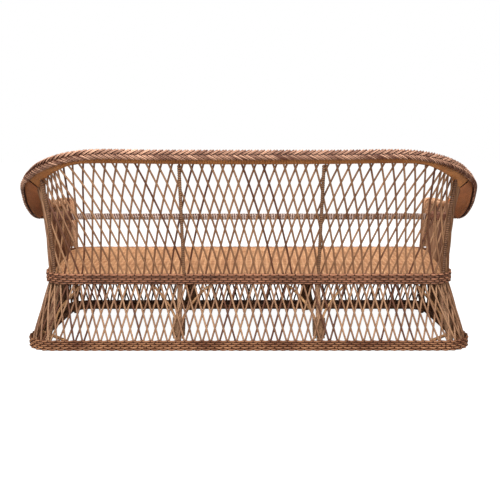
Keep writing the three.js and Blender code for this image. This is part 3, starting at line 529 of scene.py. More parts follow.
# Legs: poles wound with thin cane that carry the seat ring from inside the base ring. Each of
# the four middle legs has two bent braces, lashed to it near the foot, and each rear corner leg
# has one brace up to the ring and a short pole across the corner of the base.
wound_cane = cane_finish("wound_leg_cane", (222, 178, 142), (140, 98, 70), dye=0.3, edge=0.6, joints=0.4)
lashing_cane = cane_finish("lashing_cane", (190, 147, 110), (98, 64, 42), dye=0.3, edge=0.8, joints=0.5)
both_sides = [("left", 1), ("right", -1)]
leg_radius, corner_leg_radius, brace_radius, leg_foot_z = 0.012, 0.014, 0.0055, 0.005
middle_leg_foot_x, middle_leg_head_x = 0.296, 0.288
brace_foot, brace_leaves, brace_spread = 0.029, 0.118, 0.112
corner_brace_radius, corner_leg_brace_levels, corner_leg_brace_lean = 0.007, (0.095, 0.135), 0.107
brace_path = [(0.04, 0.08), (0.13, 0.22), (0.29, 0.41), (0.53, 0.66), (0.78, 0.87), (1, 1)]
lashing_turns, lashing_low, lashing_height = 14, 0.0428, 0.0724
lashing_reach, lashing_radius, lashing_size = 0.0113, 0.0146, (0.0027, 0.0018, 6)


def lengths_along(points):
    total = [0.0]
    for a, b in zip(points, points[1:]):
        total.append(total[-1] + (b - a).length)
    return total


def index_at(passed, distance):
    """Place in a list of passed lengths, with the share of the step."""
    k = min(max(bisect.bisect_right(passed, distance) - 1, 0), len(passed) - 2)
    return k, min(max((distance - passed[k]) / (passed[k + 1] - passed[k]), 0.0), 1.0)


def wound_pole(node, line, radius, finish=wound_cane, pitch=0.0052, strand=0.0011):
    """A straight or gently bent pole with cane wound round it from end to end."""
    name = node + "_wound"
    passed = lengths_along(line)
    side = (line[-1] - line[0]).orthogonal()
    turns = max(1, int((passed[-1] - pitch) / pitch))
    core_radius = radius - strand * 1.4
    coil = []
    for k in range(turns * 12 + 1):
        angle = 2 * math.pi * k / 12
        reached = pitch / 2 + (passed[-1] - pitch) * k / turns / 12
        span, _ = index_at(passed, reached)
        axis = (line[span + 1] - line[span]).normalized()
        level = (side - axis * side.dot(axis)).normalized()
        spoke = level * math.cos(angle) + axis.cross(level) * math.sin(angle)
        coil.append((line[span] + axis * (reached - passed[span]) + spoke * (radius - strand), spoke))
    settle(joined(name, [
        canes(name + "_coil", [coil], (pitch / 2, strand, 6), finish),
        canes(name + "_core", [[(point, side) for point in line]], (core_radius, core_radius, 10),
              finish),
    ]), "wrapped_post", node)


def under_seat_ring(y):
    return seat_pole_height(y) - seat_pole_radius


def leg_rise(foot, head, radius):
    """The direction of a leg, and its length up to the underside of the seat ring."""
    rise = (head - foot).normalized()
    tilt = rise.angle(up)
    return rise, (head - foot).length - 2 * clearance / math.cos(tilt) - radius * math.tan(tilt)


def lashing_path(foot, turned):
    """Flat cane wound round a leg and the feet of its two braces."""
    coil = []
    for k in range(lashing_turns * 16 + 1):
        angle = 2 * math.pi * k / 16
        spoke = Vector((math.cos(angle), math.sin(angle), 0))
        beside = math.copysign(lashing_reach, spoke.x) if abs(spoke.x) > 1e-6 else 0.0
        centre = Vector((beside, 0, lashing_low + lashing_height * k / lashing_turns / 16))
        coil.append((foot + turned @ (centre + spoke * lashing_radius), turned @ spoke))
    return coil


inside_base_pole = base_pole_inset + base_pole_radius + clearance
leg_foot_reach = base_ring.rear - inside_base_pole - leg_radius
# The front braces take the darker copy of bare rattan: painted shade under the seat.
for row, toward, head_plan, brace_cane in [
        ("rear", 1, waist_ring.rear - seat_pole_inset, bare_rattan),
        ("front", -1, seat_pole_inset - waist_ring.front, rattan_painted_shade)]:
    head_y = head_plan + base_centre.y
    lean = max(0, toward * head_plan - leg_foot_reach) / under_seat_ring(head_y)
    foot_y = toward * (leg_foot_reach - clearance - lean * base_pole_height) + base_centre.y
    for side, across in both_sides:
        foot = Vector((across * middle_leg_foot_x, foot_y, leg_foot_z))
        head = Vector((across * middle_leg_head_x, head_y, under_seat_ring(head_y)))
        rise, length = leg_rise(foot, head, leg_radius)
        wound_pole(f"{row}_middle_leg_{side}", [foot, foot + rise * length], leg_radius)
        turned = up.rotation_difference(rise)
        face = turned @ Vector((0, 1, 0))
        beside = leg_radius + clearance + brace_radius
        climb = length - brace_radius - clearance - brace_leaves
        points = [(0, brace_foot), (0, brace_leaves)]
        points += [(out * brace_spread, brace_leaves + climb * u) for out, u in brace_path]
        for which, way in [("outer", across), ("inner", -across)]:
            path = [(foot + turned @ Vector((way * (beside + out), 0, u)), face) for out, u in points]
            bare_pole(f"{row}_{side}_bent_brace_{which}", f"{row}_{side}_brace_{which}",
                      path, brace_radius, 10, brace_cane)
        settle(canes(f"{row}_{side}_leg_lashing_turns", [lashing_path(foot, turned)], lashing_size,
                     lashing_cane), "cane_lashing", f"{row}_leg_lashing_{side}")

leg_ring = inset(waist_ring, seat_pole_inset - seat_pole_radius + clearance + corner_leg_radius)
corner_x, corner_y = base_ring.half - base_ring.bend, base_ring.rear - base_ring.bend
corner_out = (base_ring.bend - inside_base_pole - corner_leg_radius) * math.sqrt(0.5)
side_start = waist_ring.rear - waist_ring.bend
side_depth = side_start + waist_ring.front - waist_ring.front_bend
corner_legs = [
    ("rear", corner_x + corner_out, corner_y + corner_out, ring_point(leg_ring, 1, 0.5)[0]),
    ("front", base_ring.half - inside_base_pole - corner_leg_radius, -corner_y,
     ring_point(leg_ring, 2, (side_start + corner_y) / side_depth)[0])]


def corner_leg_brace(side, across, foot, head):
    """A pole bent from the foot of a rear corner leg to the rear of the seat ring."""
    ring_y = waist_ring.rear - seat_pole_inset + base_centre.y
    under_ring = under_seat_ring(ring_y)
    top = Vector((head.x - across * corner_leg_brace_lean, ring_y,
                  under_ring - clearance - brace_radius))

    def beside_leg(level):
        centre = foot.lerp(Vector((head.x, head.y, under_ring)), level / under_ring)
        toward = Vector((top.x - centre.x, top.y - centre.y, 0)).normalized()
        return centre + toward * (corner_leg_radius + 2 * clearance + brace_radius)

    low, bend = map(beside_leg, corner_leg_brace_levels)
    before, after = low.lerp(bend, 0.4), bend.lerp(top, 0.2)
    curve = [before * (1 - t) ** 2 + bend * 2 * t * (1 - t) + after * t * t
             for t in (k / 6 for k in range(7))]
    bare_pole(f"rear_corner_leg_brace_{side}_bent_pole", f"rear_corner_leg_brace_{side}",
              [(point, Vector((0, 1, 0))) for point in [low, *curve, top]], brace_radius, 10)


for side, across in both_sides:
    for row, foot_x, foot_y, top in corner_legs:
        foot = Vector((across * foot_x, foot_y + base_centre.y, leg_foot_z))
        head = Vector((across * top.x, top.y, under_seat_ring(top.y)))
        rise, length = leg_rise(foot, head, corner_leg_radius)
        wound_pole(f"{row}_corner_leg_{side}", [foot, foot + rise * length], corner_leg_radius)
        if row == "rear":
            corner_leg_brace(side, across, foot, head)
    low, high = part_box(f"corner_brace_{side}")
    near_x, far_x = (low.x, high.x) if across > 0 else (high.x, low.x)
    pad = Vector((across, -1, 0)) * corner_brace_radius * math.sqrt(0.5)
    level = (low.z + high.z) / 2
    bare_pole(f"corner_brace_{side}_bare_pole", f"corner_brace_{side}",
              [(Vector((near_x, high.y, level)) + pad, up), (Vector((far_x, low.y, level)) - pad, up)],
              corner_brace_radius, 12)

# Seat: five bare bars under a close-woven deck, whose weavers run from arm to arm over and under
# thin stakes that run from front to back.
seat_cane = cane_finish("woven_seat_cane", (224, 174, 129), (172, 117, 77), dye=0.35, edge=0.35,
                        joints=0.6)
seat_low, seat_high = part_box("seat_panel")
seat_side, seat_bend, seat_front, seat_front_bend = 0.8434, 0.0884, 0.3557, 0.095
seat_pitch, seat_stake_pitch, seat_swing = 0.0082, 0.0235, 0.0016
seat_edge, seat_row_end, seat_stake_end = 0.0048, 0.003, 0.006
seat_row_depth, seat_stake_depth, seat_bar_radius = 0.0037, 0.0046, 0.011
seat_row_size, seat_stake_size = (0.0050, 0.0017, 5), (0.0030, 0.0016, 6)

for k in range(1, 6):
    node = f"seat_cross_bar_{k}"
    low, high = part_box(node)
    ends = [(low.y, high.z - seat_bar_radius), (high.y, low.z + seat_bar_radius)]
    bare_pole(node + "_bare_pole", node,
              [(Vector(((low.x + high.x) / 2, y, z)), Vector((1, 0, 0))) for y, z in ends],
              seat_bar_radius, 12)


def seat_half_width(y):
    """Half the width of the seat at a depth, inside its rounded corners."""
    plan = y - base_centre.y
    straight = side_start + seat_front - seat_front_bend
    splay = waist_ring.splay * straight / side_depth
    for drop, side, bend in [(plan - side_start, seat_side, seat_bend),
                             (side_start - straight - plan, seat_side + splay, seat_front_bend)]:
        if drop > 0:
            return side - bend + math.sqrt(max(bend ** 2 - drop ** 2, 0))
    return seat_side + splay * (side_start - plan) / straight


def seat_rows():
    """Weavers from side to side; each passes the stakes on the other side from its neighbours."""
    depth = seat_high.y - seat_low.y - 2 * seat_edge
    rows = int(depth / seat_pitch) + 1
    paths = []
    for row in range(rows + 1):
        y = seat_low.y + seat_edge + depth * row / rows
        reach = seat_half_width(y) - seat_row_end
        steps = max(8, round(2 * reach / seat_stake_pitch * 2))
        path = []
        for k in range(steps + 1):
            x = -reach + 2 * reach * k / steps
            swing = seat_swing * math.cos(math.pi * x / seat_stake_pitch + math.pi * row)
            path.append((Vector((x, y, seat_top(y) - seat_row_depth + swing)), up))
        paths.append(path)
    return paths


def seat_stakes():
    depth = seat_high.y - seat_low.y - 2 * seat_stake_end
    ys = [seat_low.y + seat_stake_end + depth * j / 40 for j in range(41)]
    paths = []
    for k in range(-37, 38):
        x = (k + 0.5) * seat_stake_pitch
        inside = [y for y in ys if seat_half_width(y) - seat_stake_end > abs(x)]
        if len(inside) > 2:
            paths.append([(Vector((x, y, seat_top(y) - seat_stake_depth)), up)
                          for y in (inside[0], inside[-1])])
    return paths


settle(joined("seat_weave", [
    canes("seat_weave_rows", seat_rows(), seat_row_size, seat_cane),
    canes("seat_weave_stakes", seat_stakes(), seat_stake_size, seat_cane)]), "woven_seat", "seat_panel")

# Rim frame: the top rail and the rim pole outside it, bent in one sweep from arm front round the
# back to arm front. Each place is a share of the half width, the reach and the drop.
arm_front_y, knots = 0.345, 14
rail_shares = [
    (0, 1, 0.019), (0.378, 1, 0.01), (0.649, 1, 0), (0.743, 0.995, 0.026), (0.81, 0.961, 0.122),
    (0.87, 0.87, 0.228), (0.903, 0.822, 0.297), (0.932, 0.763, 0.4), (0.962, 0.695, 0.5),
    (0.989, 0.592, 0.61), (1, 0.487, 0.74), (1, 0.355, 0.926), (1, 0.197, 1), (1, 0.092, 1),
    (1, 0, 0.971)]
braid_shares = [
    (0, 1, 0.006), (0.337, 1, 0.005), (0.582, 0.999, 0), (0.673, 0.978, 0.034), (0.736, 0.943, 0.081),
    (0.804, 0.867, 0.153), (0.833, 0.819, 0.191), (0.864, 0.759, 0.241), (0.897, 0.69, 0.294),
    (0.938, 0.584, 0.388), (0.965, 0.475, 0.508), (0.989, 0.342, 0.69), (1, 0.19, 0.87),
    (1, 0.089, 0.93), (0.9985, 0, 0.94)]
braid_tips = list(enumerate([5, 5, 5, 5, 8, 12, 16, 22, 28, 34, 36, 32, 26, 22, 20]))
rail_rear, rail_height, rim_pole_inside, rim_steps = 0.405, 0.774, 0.0215, 1120


def rim_line(shares, half_width, rear, height, drop):
    """Points along a smooth curve through the shares, right arm front to left arm front."""
    half = [Vector((x * half_width, y * (rear + arm_front_y) - arm_front_y + base_centre.y,
                    height - d * drop)) for x, y, d in shares]
    line = [on_side(point, -1) for point in reversed(half[1:])] + half
    line = [line[0] * 2 - line[1]] + line + [line[-1] * 2 - line[-2]]
    points = []
    for k in range(rim_steps + 1):
        place = k / rim_steps * 2 * knots
        span = min(int(place), 2 * knots - 1)
        w = place - span
        p0, p1, p2, p3 = line[span:span + 4]
        d0, d1, d2 = (math.sqrt((b - a).length) for a, b in ((p0, p1), (p1, p2), (p2, p3)))
        m1 = ((p1 - p0) / d0 - (p2 - p0) / (d0 + d1) + (p2 - p1) / d1) * d1
        m2 = ((p2 - p1) / d1 - (p3 - p1) / (d1 + d2) + (p3 - p2) / d2) * d1
        points.append(p1 + m1 * w + (p1 * -3 + p2 * 3 - m1 * 2 - m2) * w ** 2
                      + (p1 * 2 - p2 * 2 + m1 + m2) * w ** 3)
    return points


def direction(points, k):
    return (points[min(k + 1, rim_steps)] - points[max(k - 1, 0)]).normalized()


def between(points, place):
    k, share = place
    return points[k].lerp(points[k + 1], share)


def graded(steps, place):
    """A value read between the steps of a list of (place, value)."""
    for (p0, v0), (p1, v1) in zip(steps, steps[1:]):
        if place <= p1:
            return v0 + (v1 - v0) * (place - p0) / (p1 - p0)
    return steps[-1][1]


def at_knot(k):
    """The step of the rim's lines that lies at a knot, counted from the middle of the back."""
    return round((1 + k / knots) / 2 * rim_steps)


rail_line = rim_line(rail_shares, half_width=0.925, rear=rail_rear, height=rail_height, drop=0.218)
braid_line = rim_line(braid_shares, half_width=1.040, rear=0.445, height=0.796, drop=0.320)
rail_passed, braid_passed = lengths_along(rail_line), lengths_along(braid_line)
rail_total, rail_half = rail_passed[-1], rail_passed[-1] / 2
braid_faces, braid_across, rim_pole_line = [], [], []
for k in range(rim_steps + 1):
    along = direction(braid_line, k)
    tip = math.radians(graded(braid_tips, abs(k / rim_steps - 0.5) * 2 * knots))
    out = Vector((-along.y, along.x, 0)).normalized()
    face = out * math.cos(tip) + up * math.sin(tip)
    face = (face - along * face.dot(along)).normalized()
    braid_faces.append(face)
    braid_across.append(face.cross(along).normalized())
    rim_pole_line.append(braid_line[k] - face * rim_pole_inside)

# The poles under the wrapping take a dark finish: painted shade where they show at the seams and ends of
# the wrap.
hidden_pole_shade = cane_finish("rail_pole_painted_shade", (120, 80, 50), (70, 42, 24), dye=0.2, edge=0.0)
for node in ("top_rail_pole", "rim_pole", "rim_core_back", "rim_core_left", "rim_core_right"):
    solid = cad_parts[node]
    solid.data.materials.clear()
    solid.data.materials.append(hidden_pole_shade)

# Rim wrapping: flat cane wound closely round the top rail and the rim pole together, so that
# the two poles read as one wide roll with fine lines across it. It is wound in five lengths.
wrap_cane = cane_finish("flat_wrap_cane", (240, 168, 104), (166, 100, 54), dye=0.2, edge=0.5,
                        joints=0.35)
# The arm lengths take a deeper copy of the wrap finish: painted shade of the arm's underside.
arm_wrap_painted_shade_cane = cane_finish("arm_wrap_painted_shade_cane", (236, 152, 98), (160, 96, 58), dye=0.2, edge=0.5,
                            joints=0.35)
end_wrap_cane = cane_finish("arm_end_wrap_cane", (222, 156, 106), (148, 94, 60), dye=0.3, edge=0.5,
                            joints=0.35)
wrap_pitch, wrap_end, wrap_change, seam_gap = 0.0062, 0.004, 0.110, 0.0015
rail_wrap_radius, pole_wrap_radius, wrap_size = 0.0102, 0.0112, (wrap_pitch / 2, 0.0010, 4)


def roll_place(distance):
    """The rail and the rim pole at a length along the rail, the way between them, and up."""
    place = index_at(rail_passed, distance)
    rail, pole = between(rail_line, place), between(rim_pole_line, place)
    along = direction(rail_line, place[0])
    reach = rail - pole
    reach = (reach - along * reach.dot(along)).normalized()
    return rail, pole, reach, reach.cross(along).normalized()


def rim_wrap(start, stop):
    """One flat cane wound round both poles between two lengths along the rail."""
    path = []
    for turn in range(int((stop - start) / wrap_pitch)):
        for j in range(10):
            rail, pole, reach, upright = roll_place(start + wrap_pitch * (turn + j / 10))
            centre, radius = (rail, rail_wrap_radius) if j < 5 else (pole, pole_wrap_radius)
            angle = math.radians(45 * j - 90 if j < 5 else 45 * j - 135)
            spoke = reach * math.cos(angle) + upright * math.sin(angle)
            path.append((centre + spoke * radius, spoke))
    return path


seam = rail_passed[at_knot(-8)]
settle(joined("rim_flat_cane_wrap", [
    canes(f"rim_wrap_{name}", [rim_wrap(start, stop)], wrap_size, finish)
    for name, start, stop, finish in [
        ("right_end", wrap_end, wrap_change, end_wrap_cane),
        ("right_arm", wrap_change, seam - seam_gap, arm_wrap_painted_shade_cane),
        ("back", seam + seam_gap, rail_total - seam - seam_gap, wrap_cane),
        ("left_arm", rail_total - seam + seam_gap, rail_total - wrap_change, arm_wrap_painted_shade_cane),
        ("left_end", rail_total - wrap_change, rail_total - wrap_end, end_wrap_cane)]]), "rim_wrap")

# Wall lattice: round peeled canes in two slanting layers, fanned out from the seat band to the
# top rail round the back and both arms, with their ends held behind the band and the wrapping.
wall_cane = cane_finish("wall_cane", (168, 126, 92), (96, 58, 40), dye=0.5, edge=0.15, dark=0.4)
wall_ring = inset(waist_ring, lattice_inset)
wall_turn = wall_ring.lengths[0]
wall_post_at = wall_turn + wall_ring.lengths[1] / 3
wall_end = sum(wall_ring.lengths[:3]) + wall_ring.lengths[3] / 2
post_reach = rail_passed[at_knot(6)] - rail_half
rail_end, under_rail = 0.011, 0.0096
fan = [(0, 0), (0.355 * wall_post_at, 0.35 * post_reach), (0.8 * wall_post_at, 0.82 * post_reach),
       (wall_post_at, post_reach), (wall_end, rail_half - rail_end)]
wall_rise, wall_pitch, wall_margin, arm_lean = rail_height - band_rear_top, 0.0369, 0.012, 1.9
lean_changes = 0.62 * wall_turn
slant_even, slant_growing, slant_start = 5.777, 1.241, 6.672
slope_across, slope_up = 0.003, 0.0065


def leaning(distance, height):
    """The share of its lean that the wall has reached: even at the back, late at the arms."""
    turned = min(max((abs(distance) - lean_changes) / (wall_post_at - lean_changes), 0), 1)
    return height + (height ** arm_lean - height) * turned


def wall_place(distance, height):
    """A place on the wall: how far round from the middle of the back, and its share of the rise."""
    point, out = (on_side(vector, math.copysign(1, distance))
                  for vector in ring_point(wall_ring, *stretch_at(wall_ring, abs(distance))))
    point.z = band_top(point.y)
    if height < 0:
        return point + up * (height * wall_rise), out
    place = index_at(rail_passed, rail_half + math.copysign(graded(fan, abs(distance)), distance))
    head = between(rail_line, place)
    down = (point - head).normalized()
    slant = math.sin(down.angle(direction(rail_line, place[0])))
    head += down * (under_rail / slant)
    level = point.z + (head.z - point.z) * height
    point = point.lerp(head, leaning(distance, height))
    point.z = level
    return point, out


def wall_point(distance, height, outward):
    """A place on the wall, moved out from it along the wall's own slope."""
    point, out = wall_place(distance, height)
    if height >= 0:
        beside = (wall_place(distance + slope_across, height)[0]
                  - wall_place(distance - slope_across, height)[0])
        rise = wall_place(distance, height + slope_up)[0] - point
        out = rise.cross(beside).normalized()
    return point + out * outward, out


def wall_run(height):
    """How far a cane has moved round the wall at a height; it slants more towards the top."""
    return (slant_even * height + slant_growing * height * abs(height) - slant_start) * wall_pitch / 2


wall_paths = slanting_canes(wall_point, range(-46, 46), wall_pitch, wall_run,
                            low=-0.05, high=1.01, steps=16, reach=wall_end - wall_margin)
settle(canes("wall_cane_lattice", wall_paths, lattice_size, wall_cane),
       "cane_lattice", "back_lattice_centre", "back_lattice_left", "back_lattice_right",
       "arm_lattice_left", "arm_lattice_right")

# Mid band: cane wound over two level carriers inside the lattice, round the back and both arms.
# Along the back a pale open coil and a thin dark one take every other turn; the dark coil and the
# dark carriers are painted shade between the pale turns. At the arms the turns are brown and
# closed. It steadies the lattice.
twine_pale = cane_finish("twined_cane_pale", (240, 214, 201), (174, 140, 123), dye=0.4, edge=0.4)
twine_brown = cane_finish("twined_cane_brown", (158, 106, 82), (84, 50, 38), dye=0.5, edge=0.5)
# Dark finish of the thin coil and the carriers: painted shade between the pale turns.
twine_painted_shade = cane_finish("twined_cane_painted_shade", (140, 98, 78), (74, 46, 34), dye=0.4, edge=0.4)
mid_front, mid_rear, twine_inside = 0.496, 0.547, 0.0102
twine_pitch, twine_change, twine_end = wall_pitch / 4, 0.690, wall_end - 0.016
twine_turn = [(-1, 1), (-0.2, 1.25), (0.6, 1.25), (1, 1), (1, -1), (0.2, -1.25), (-0.6, -1.25), (-1, -1)]
twine_rise, twine_bulge, twine_depth = 0.0104, 0.0016, 0.0022
carrier_lift, carrier_end = 0.0098, wall_end - 0.013
pale_size, shade_coil_size = (0.0028, 0.0011, 5), (0.0013, 0.0010, 5)
brown_size, carrier_size = (0.0046, 0.0011, 5), (0.0018, 0.0016, 6)


def mid_point(distance, lift, outward):
    """A place on the mid band, from its level line and the middle of its thickness."""
    foot, head = wall_place(distance, 0)[0], wall_place(distance, 1)[0]
    share = (head.y - base_centre.y + arm_front_y) / (rail_rear + arm_front_y)
    level = mid_front + (mid_rear - mid_front) * share
    return wall_point(distance, (level + lift - foot.z) / (head.z - foot.z), outward - twine_inside)


def twined_turns(start, stop, offset=0.0):
    """A coil round two carriers; its turns bulge a little between the canes of the lattice."""
    path = []
    for turn in range(round((stop - start) / twine_pitch)):
        for corner, (lift, depth) in enumerate(twine_turn):
            distance = start + twine_pitch * (turn + offset + corner / 8)
            swell = twine_rise + twine_bulge * abs(math.sin(math.pi * distance / wall_pitch))
            path.append(mid_point(distance, lift * swell, depth * twine_depth))
    return path


pale_turns = [twined_turns(-twine_change, twine_change)]
shade_coil_turns = [twined_turns(-twine_change, twine_change, offset=0.5)]
arm_turns = [twined_turns(-twine_end, -twine_change), twined_turns(twine_change, twine_end)]
carriers = [[mid_point(carrier_end * (2 * k / 240 - 1), lift, 0) for k in range(241)]
            for lift in (-carrier_lift, carrier_lift)]
settle(joined("mid_band_twining", [
    canes("mid_band_pale_turns", pale_turns, pale_size, twine_pale),
    canes("mid_band_painted_shade_turns", shade_coil_turns, shade_coil_size, twine_painted_shade),
    canes("mid_band_arm_turns", arm_turns, brown_size, twine_brown),
    canes("mid_band_carriers", carriers, carrier_size, twine_painted_shade)]), "woven_band", "mid_band")

# Back posts and arm posts: thin poles wound with cane that stand on the seat band and carry the
# top rail, two behind the back, one at each rear corner and one under each end of the rail.
post_cane = {
    "middle": cane_finish("post_winding", (180, 134, 98), (76, 46, 28), dye=0.2, edge=1.1, joints=0.4),
    "corner": cane_finish("corner_post_winding", (160, 116, 85), (68, 41, 26), dye=0.2, edge=1.1,
                          joints=0.4)}
middle_post_places = {"left": (0.269, 0.246), "right": (0.288, 0.264)}
post_radius, post_outside, post_top_gap, post_foot_gap = 0.0075, 0.0148, 0.001, 0.0005
arm_post_radius, arm_post_foot_gap, arm_post_top_gap = 0.011, 0.0015, 0.003
for side, across in both_sides:
    for which, steps, (start, stop) in [("middle", 1, middle_post_places[side]),
                                        ("corner", 6, (wall_post_at, wall_post_at))]:
        node = f"back_post_{which}_{side}"
        shares = [step / steps for step in range(steps + 1)]
        line = [wall_point(across * (start + (stop - start) * share),
                           share * (1 - post_top_gap / wall_rise), post_outside)[0] for share in shares]
        rise = (line[1] - line[0]).normalized()
        line[0] += rise * ((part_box(node)[0].z + post_foot_gap - line[0].z) / rise.z)
        wound_pole(node, line, post_radius, post_cane[which], pitch=0.0088, strand=0.0024)
    line = [wall_place(across * wall_end, step / 6)[0] for step in range(7)]
    line[0].z = band_top(line[0].y) + arm_post_foot_gap
    line[-1].z -= arm_post_top_gap
    wound_pole(f"arm_front_post_{side}", line, arm_post_radius)

# Braid: the thick herringbone plait along the outer edge of the rim. Pairs of canes slant from
# each edge to the middle, where they dive under the pairs of the other side.
braid_cane = cane_finish("braid_cane", (228, 178, 148), (98, 56, 42), dye=0.7, edge=0.9, joints=0.3)
# The flat core under the pairs has a dark finish: painted shade in the gaps between the canes.
braid_core_shade_finish = cane_finish("braid_core_painted_shade", (92, 56, 38), (54, 32, 22), dye=0.2)
braid_pitch, braid_reach, braid_spread = 0.0243, 0.038, 0.0192
braid_rise, pair_gap, pair_step, braid_start = 0.0062, 0.0096, 0.0030, 0.008
braid_overlap, core_inside = 0.0020, 0.002
braid_size, core_size = (0.0026, 0.0026, 8), (0.0160, 0.0060, 8)
braid_shape = [(-0.16, -1.2), (-0.02, -0.4), (0.12, 0.55), (0.38, 1.0), (0.66, 0.85), (0.86, 0.25),
               (0.97, -0.45), (1.0, -1.2)]


def braid_arm(start, side, lane):
    """One cane of a pair, from the middle of the braid out to the edge on its side."""
    path = []
    for share, level in braid_shape:
        passed = start + share * braid_reach + lane * pair_gap
        place = index_at(braid_passed, braid_passed[-1] - passed)
        face = between(braid_faces, place).normalized()
        across = between(braid_across, place).normalized()
        width = side * share * braid_spread - braid_overlap
        lift = level * braid_rise + lane * pair_step
        path.append((between(braid_line, place) + across * width + face * lift, face))
    return path


braid_arms = [braid_arm(braid_start + braid_pitch * (k + offset), side, lane)
              for k in range(int(braid_passed[-1] / braid_pitch) - 1)
              for side, offset in ((1, 0.0), (-1, 0.5)) for lane in (-0.5, 0.5)]
braid_core = [(braid_line[k] - braid_faces[k] * core_inside - braid_across[k] * core_inside,
               braid_faces[k]) for k in range(0, rim_steps + 1, 4)]
settle(joined("rim_braid_plait", [
    canes("rim_braid_arms", braid_arms, braid_size, braid_cane),
    canes("rim_braid_core", [braid_core], core_size, braid_core_shade_finish)]), "rim_braid", "rim_braid")

# Arm fronts: woven scrolls that close the arms in front, in a diagonal basket weave on a thin
# backing, with a thick cane for a border.
front_cane = cane_finish("arm_front_cane", (236, 186, 146), (150, 106, 76), dye=0.5, edge=0.6, joints=0.3)
front_pitch, front_swing, front_margin, shortest = 0.0085, 0.0028, 0.003, 0.012
front_depth = sum(corner.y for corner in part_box("arm_front_panel_left")) / 2
front_size, border_radius, border_depth, backing_half = (0.0040, 0.0016, 6), 0.0045, 0.0085, 0.0012
middle_x, middle_z, forward = 0.95, 0.45, Vector((0, -1, 0))


def bow(a, b, c, steps=8):
    """Points on a curve from a to c that is pulled towards b, without its start."""
    return [tuple(p * (1 - t) ** 2 + 2 * q * t * (1 - t) + r * t * t for p, q, r in zip(a, b, c))
            for t in (k / steps for k in range(1, steps + 1))]


def arm_front_outline():
    """The scroll of the left arm in X and Z, from the inner foot round the crest to the outer foot."""
    inner, foot, crest, crest_z, tip, tip_z = 0.872, 0.055, 0.931, 0.578, 1.048, 0.488
    shoulder, neck, floor_z = 0.024, 0.478, 0.3263
    points = [(inner, floor_z), (inner + shoulder / 2, crest_z - shoulder * 1.4)]
    points += bow(points[-1], (inner + shoulder * 0.55, crest_z), (inner + shoulder * 1.7, crest_z))
    points += bow((crest, crest_z), (tip - shoulder, crest_z - shoulder / 2), (tip, tip_z))
    points += bow(points[-1], (tip - shoulder / 2, tip_z - shoulder), (tip - shoulder * 2, neck))
    points += bow(points[-1], (inner + foot, neck - shoulder / 2), (inner + foot, floor_z))
    return points


def crossings(outline, origin, along):
    """Where a line crosses the outline, as distances along it."""
    found = []
    for (x0, z0), (x1, z1) in zip(outline, outline[1:] + outline[:1]):
        a, b = ((z - origin[1]) * along[0] - (x - origin[0]) * along[1]
                for x, z in ((x0, z0), (x1, z1)))
        if (a > 0) != (b > 0):
            t = a / (a - b)
            x, z = x0 + (x1 - x0) * t, z0 + (z1 - z0) * t
            found.append((x - origin[0]) * along[0] + (z - origin[1]) * along[1])
    return sorted(found)


def front_weave(outline):
    """Canes on both diagonals; the phases put each over one and under one of the other way."""
    paths = []
    for phase, angle in ((-0.5, math.radians(45)), (1.5, math.radians(-45))):
        along = (math.cos(angle), math.sin(angle))
        for k in range(-40, 41):
            offset = (k + 0.5) * front_pitch
            origin = (middle_x - along[1] * offset, middle_z + along[0] * offset)
            ends = crossings(outline, origin, along)
            for start, stop in zip(ends[::2], ends[1::2]):
                start, stop = start + front_margin, stop - front_margin
                if stop - start < shortest:
                    continue
                steps = max(2, round((stop - start) / front_pitch * 2))
                path = []
                for j in range(steps + 1):
                    s = start + (stop - start) * j / steps
                    swing = front_swing * math.cos(math.pi * (s / front_pitch + k + phase))
                    path.append((Vector((origin[0] + along[0] * s, front_depth + swing,
                                         origin[1] + along[1] * s)), forward))
                paths.append(path)
    return paths


def front_border(outline):
    """The border cane, just inside the outline."""
    border = []
    for j, (x, z) in enumerate(outline):
        (x0, z0), (x1, z1) = outline[j - 1], outline[(j + 1) % len(outline)]
        run = Vector((x1 - x0, z1 - z0)).normalized() * border_radius
        border.append((Vector((x + run.y, front_depth, z - run.x)), forward))
    return border


def front_backing(outline, across):
    """A thin closed board inside the weave."""
    count = len(outline)
    board = bpy.data.meshes.new("arm_front_backing")
    board.from_pydata(
        [(across * x, front_depth + depth, z) for depth in (-backing_half, backing_half)
         for x, z in outline[::across]], [],
        [tuple(range(count)), tuple(range(2 * count - 1, count - 1, -1))]
        + [(k, k + count, (k + 1) % count + count, (k + 1) % count) for k in range(count)])
    board.materials.append(front_cane)
    return in_scene("arm_front_backing", board)


def on_arm(paths, across):
    """The left arm's paths as they are on one of the two arms."""
    return [[(on_side(point, across), out) for point, out in path] for path in paths]


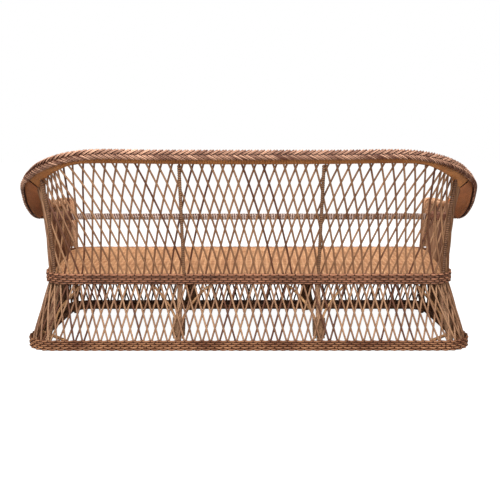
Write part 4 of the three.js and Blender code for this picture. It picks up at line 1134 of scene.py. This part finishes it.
outline = arm_front_outline()
weave, border = front_weave(outline), front_border(outline)
for side, across in both_sides:
    name = f"arm_front_weave_{side}"
    settle(joined(name, [
        canes(name, on_arm(weave, across), front_size, front_cane),
        front_backing(outline, across),
        canes(f"arm_front_border_{side}", on_arm([border], across), (border_radius, border_depth, 8),
              front_cane, closed=True)]), "woven_arm_front", f"arm_front_panel_{side}")

# Arm end covers: the weave of the arm front carried back over the last 30 cm of each arm's roll,
# from under the rail over the top of the wrapping to the braid, with a cane along its edges.
cover_radius, cover_dip, cover_length, cover_flat = 0.0133, math.radians(75), 0.300, 0.062
cover_round = (math.pi / 2 + cover_dip) * cover_radius
cover_width, cover_front = cover_round + cover_flat, 0.004
cover_swing, edge_lift = 0.0011, 0.0012
cover_size, edge_size = (0.0040, 0.0010, 6), (0.0036, 0.0016, 6)


def cover_point(across, from_end, around, lift):
    """A place on the roll near its end: up round the rail, then out along the top."""
    rail, _, reach, upright = roll_place(rail_total - from_end if across > 0 else from_end)
    angle = around / cover_radius - cover_dip
    if angle <= math.pi / 2:
        spoke = reach * math.cos(angle) + upright * math.sin(angle)
        return rail + spoke * (cover_radius + lift), spoke
    return rail - reach * (around - cover_round) + upright * (cover_radius + lift), upright


def cover_canes(across):
    """Slanting canes both ways, each over one and under one."""
    step = front_pitch * math.sqrt(0.5) / 2
    paths = []
    for way in (1, -1):
        for k in range(-16, 44):
            path = []
            for j in range(round(cover_width / step) + 1):
                around = j * step
                from_end = (k + 0.5) * front_pitch * math.sqrt(2) + way * around
                if cover_front < from_end < cover_length:
                    lift = way * cover_swing * math.cos(math.pi * math.sqrt(2) * around / front_pitch)
                    path.append(cover_point(across, from_end, around, lift))
            if len(path) > 3:
                paths.append(path)
    return paths


for side, across in both_sides:
    name = f"arm_end_weave_{side}"
    reach = cover_front - cover_length
    edges = [[cover_point(across, cover_length, cover_width * k / 16, edge_lift) for k in range(17)],
             [cover_point(across, cover_length + reach * k / 24, cover_width, edge_lift)
              for k in range(25)]]
    settle(joined(name, [canes(name + "_canes", cover_canes(across), cover_size, front_cane),
                         canes(name + "_edges", edges, edge_size, front_cane)]), "woven_arm_front")

bpy.context.view_layer.update()
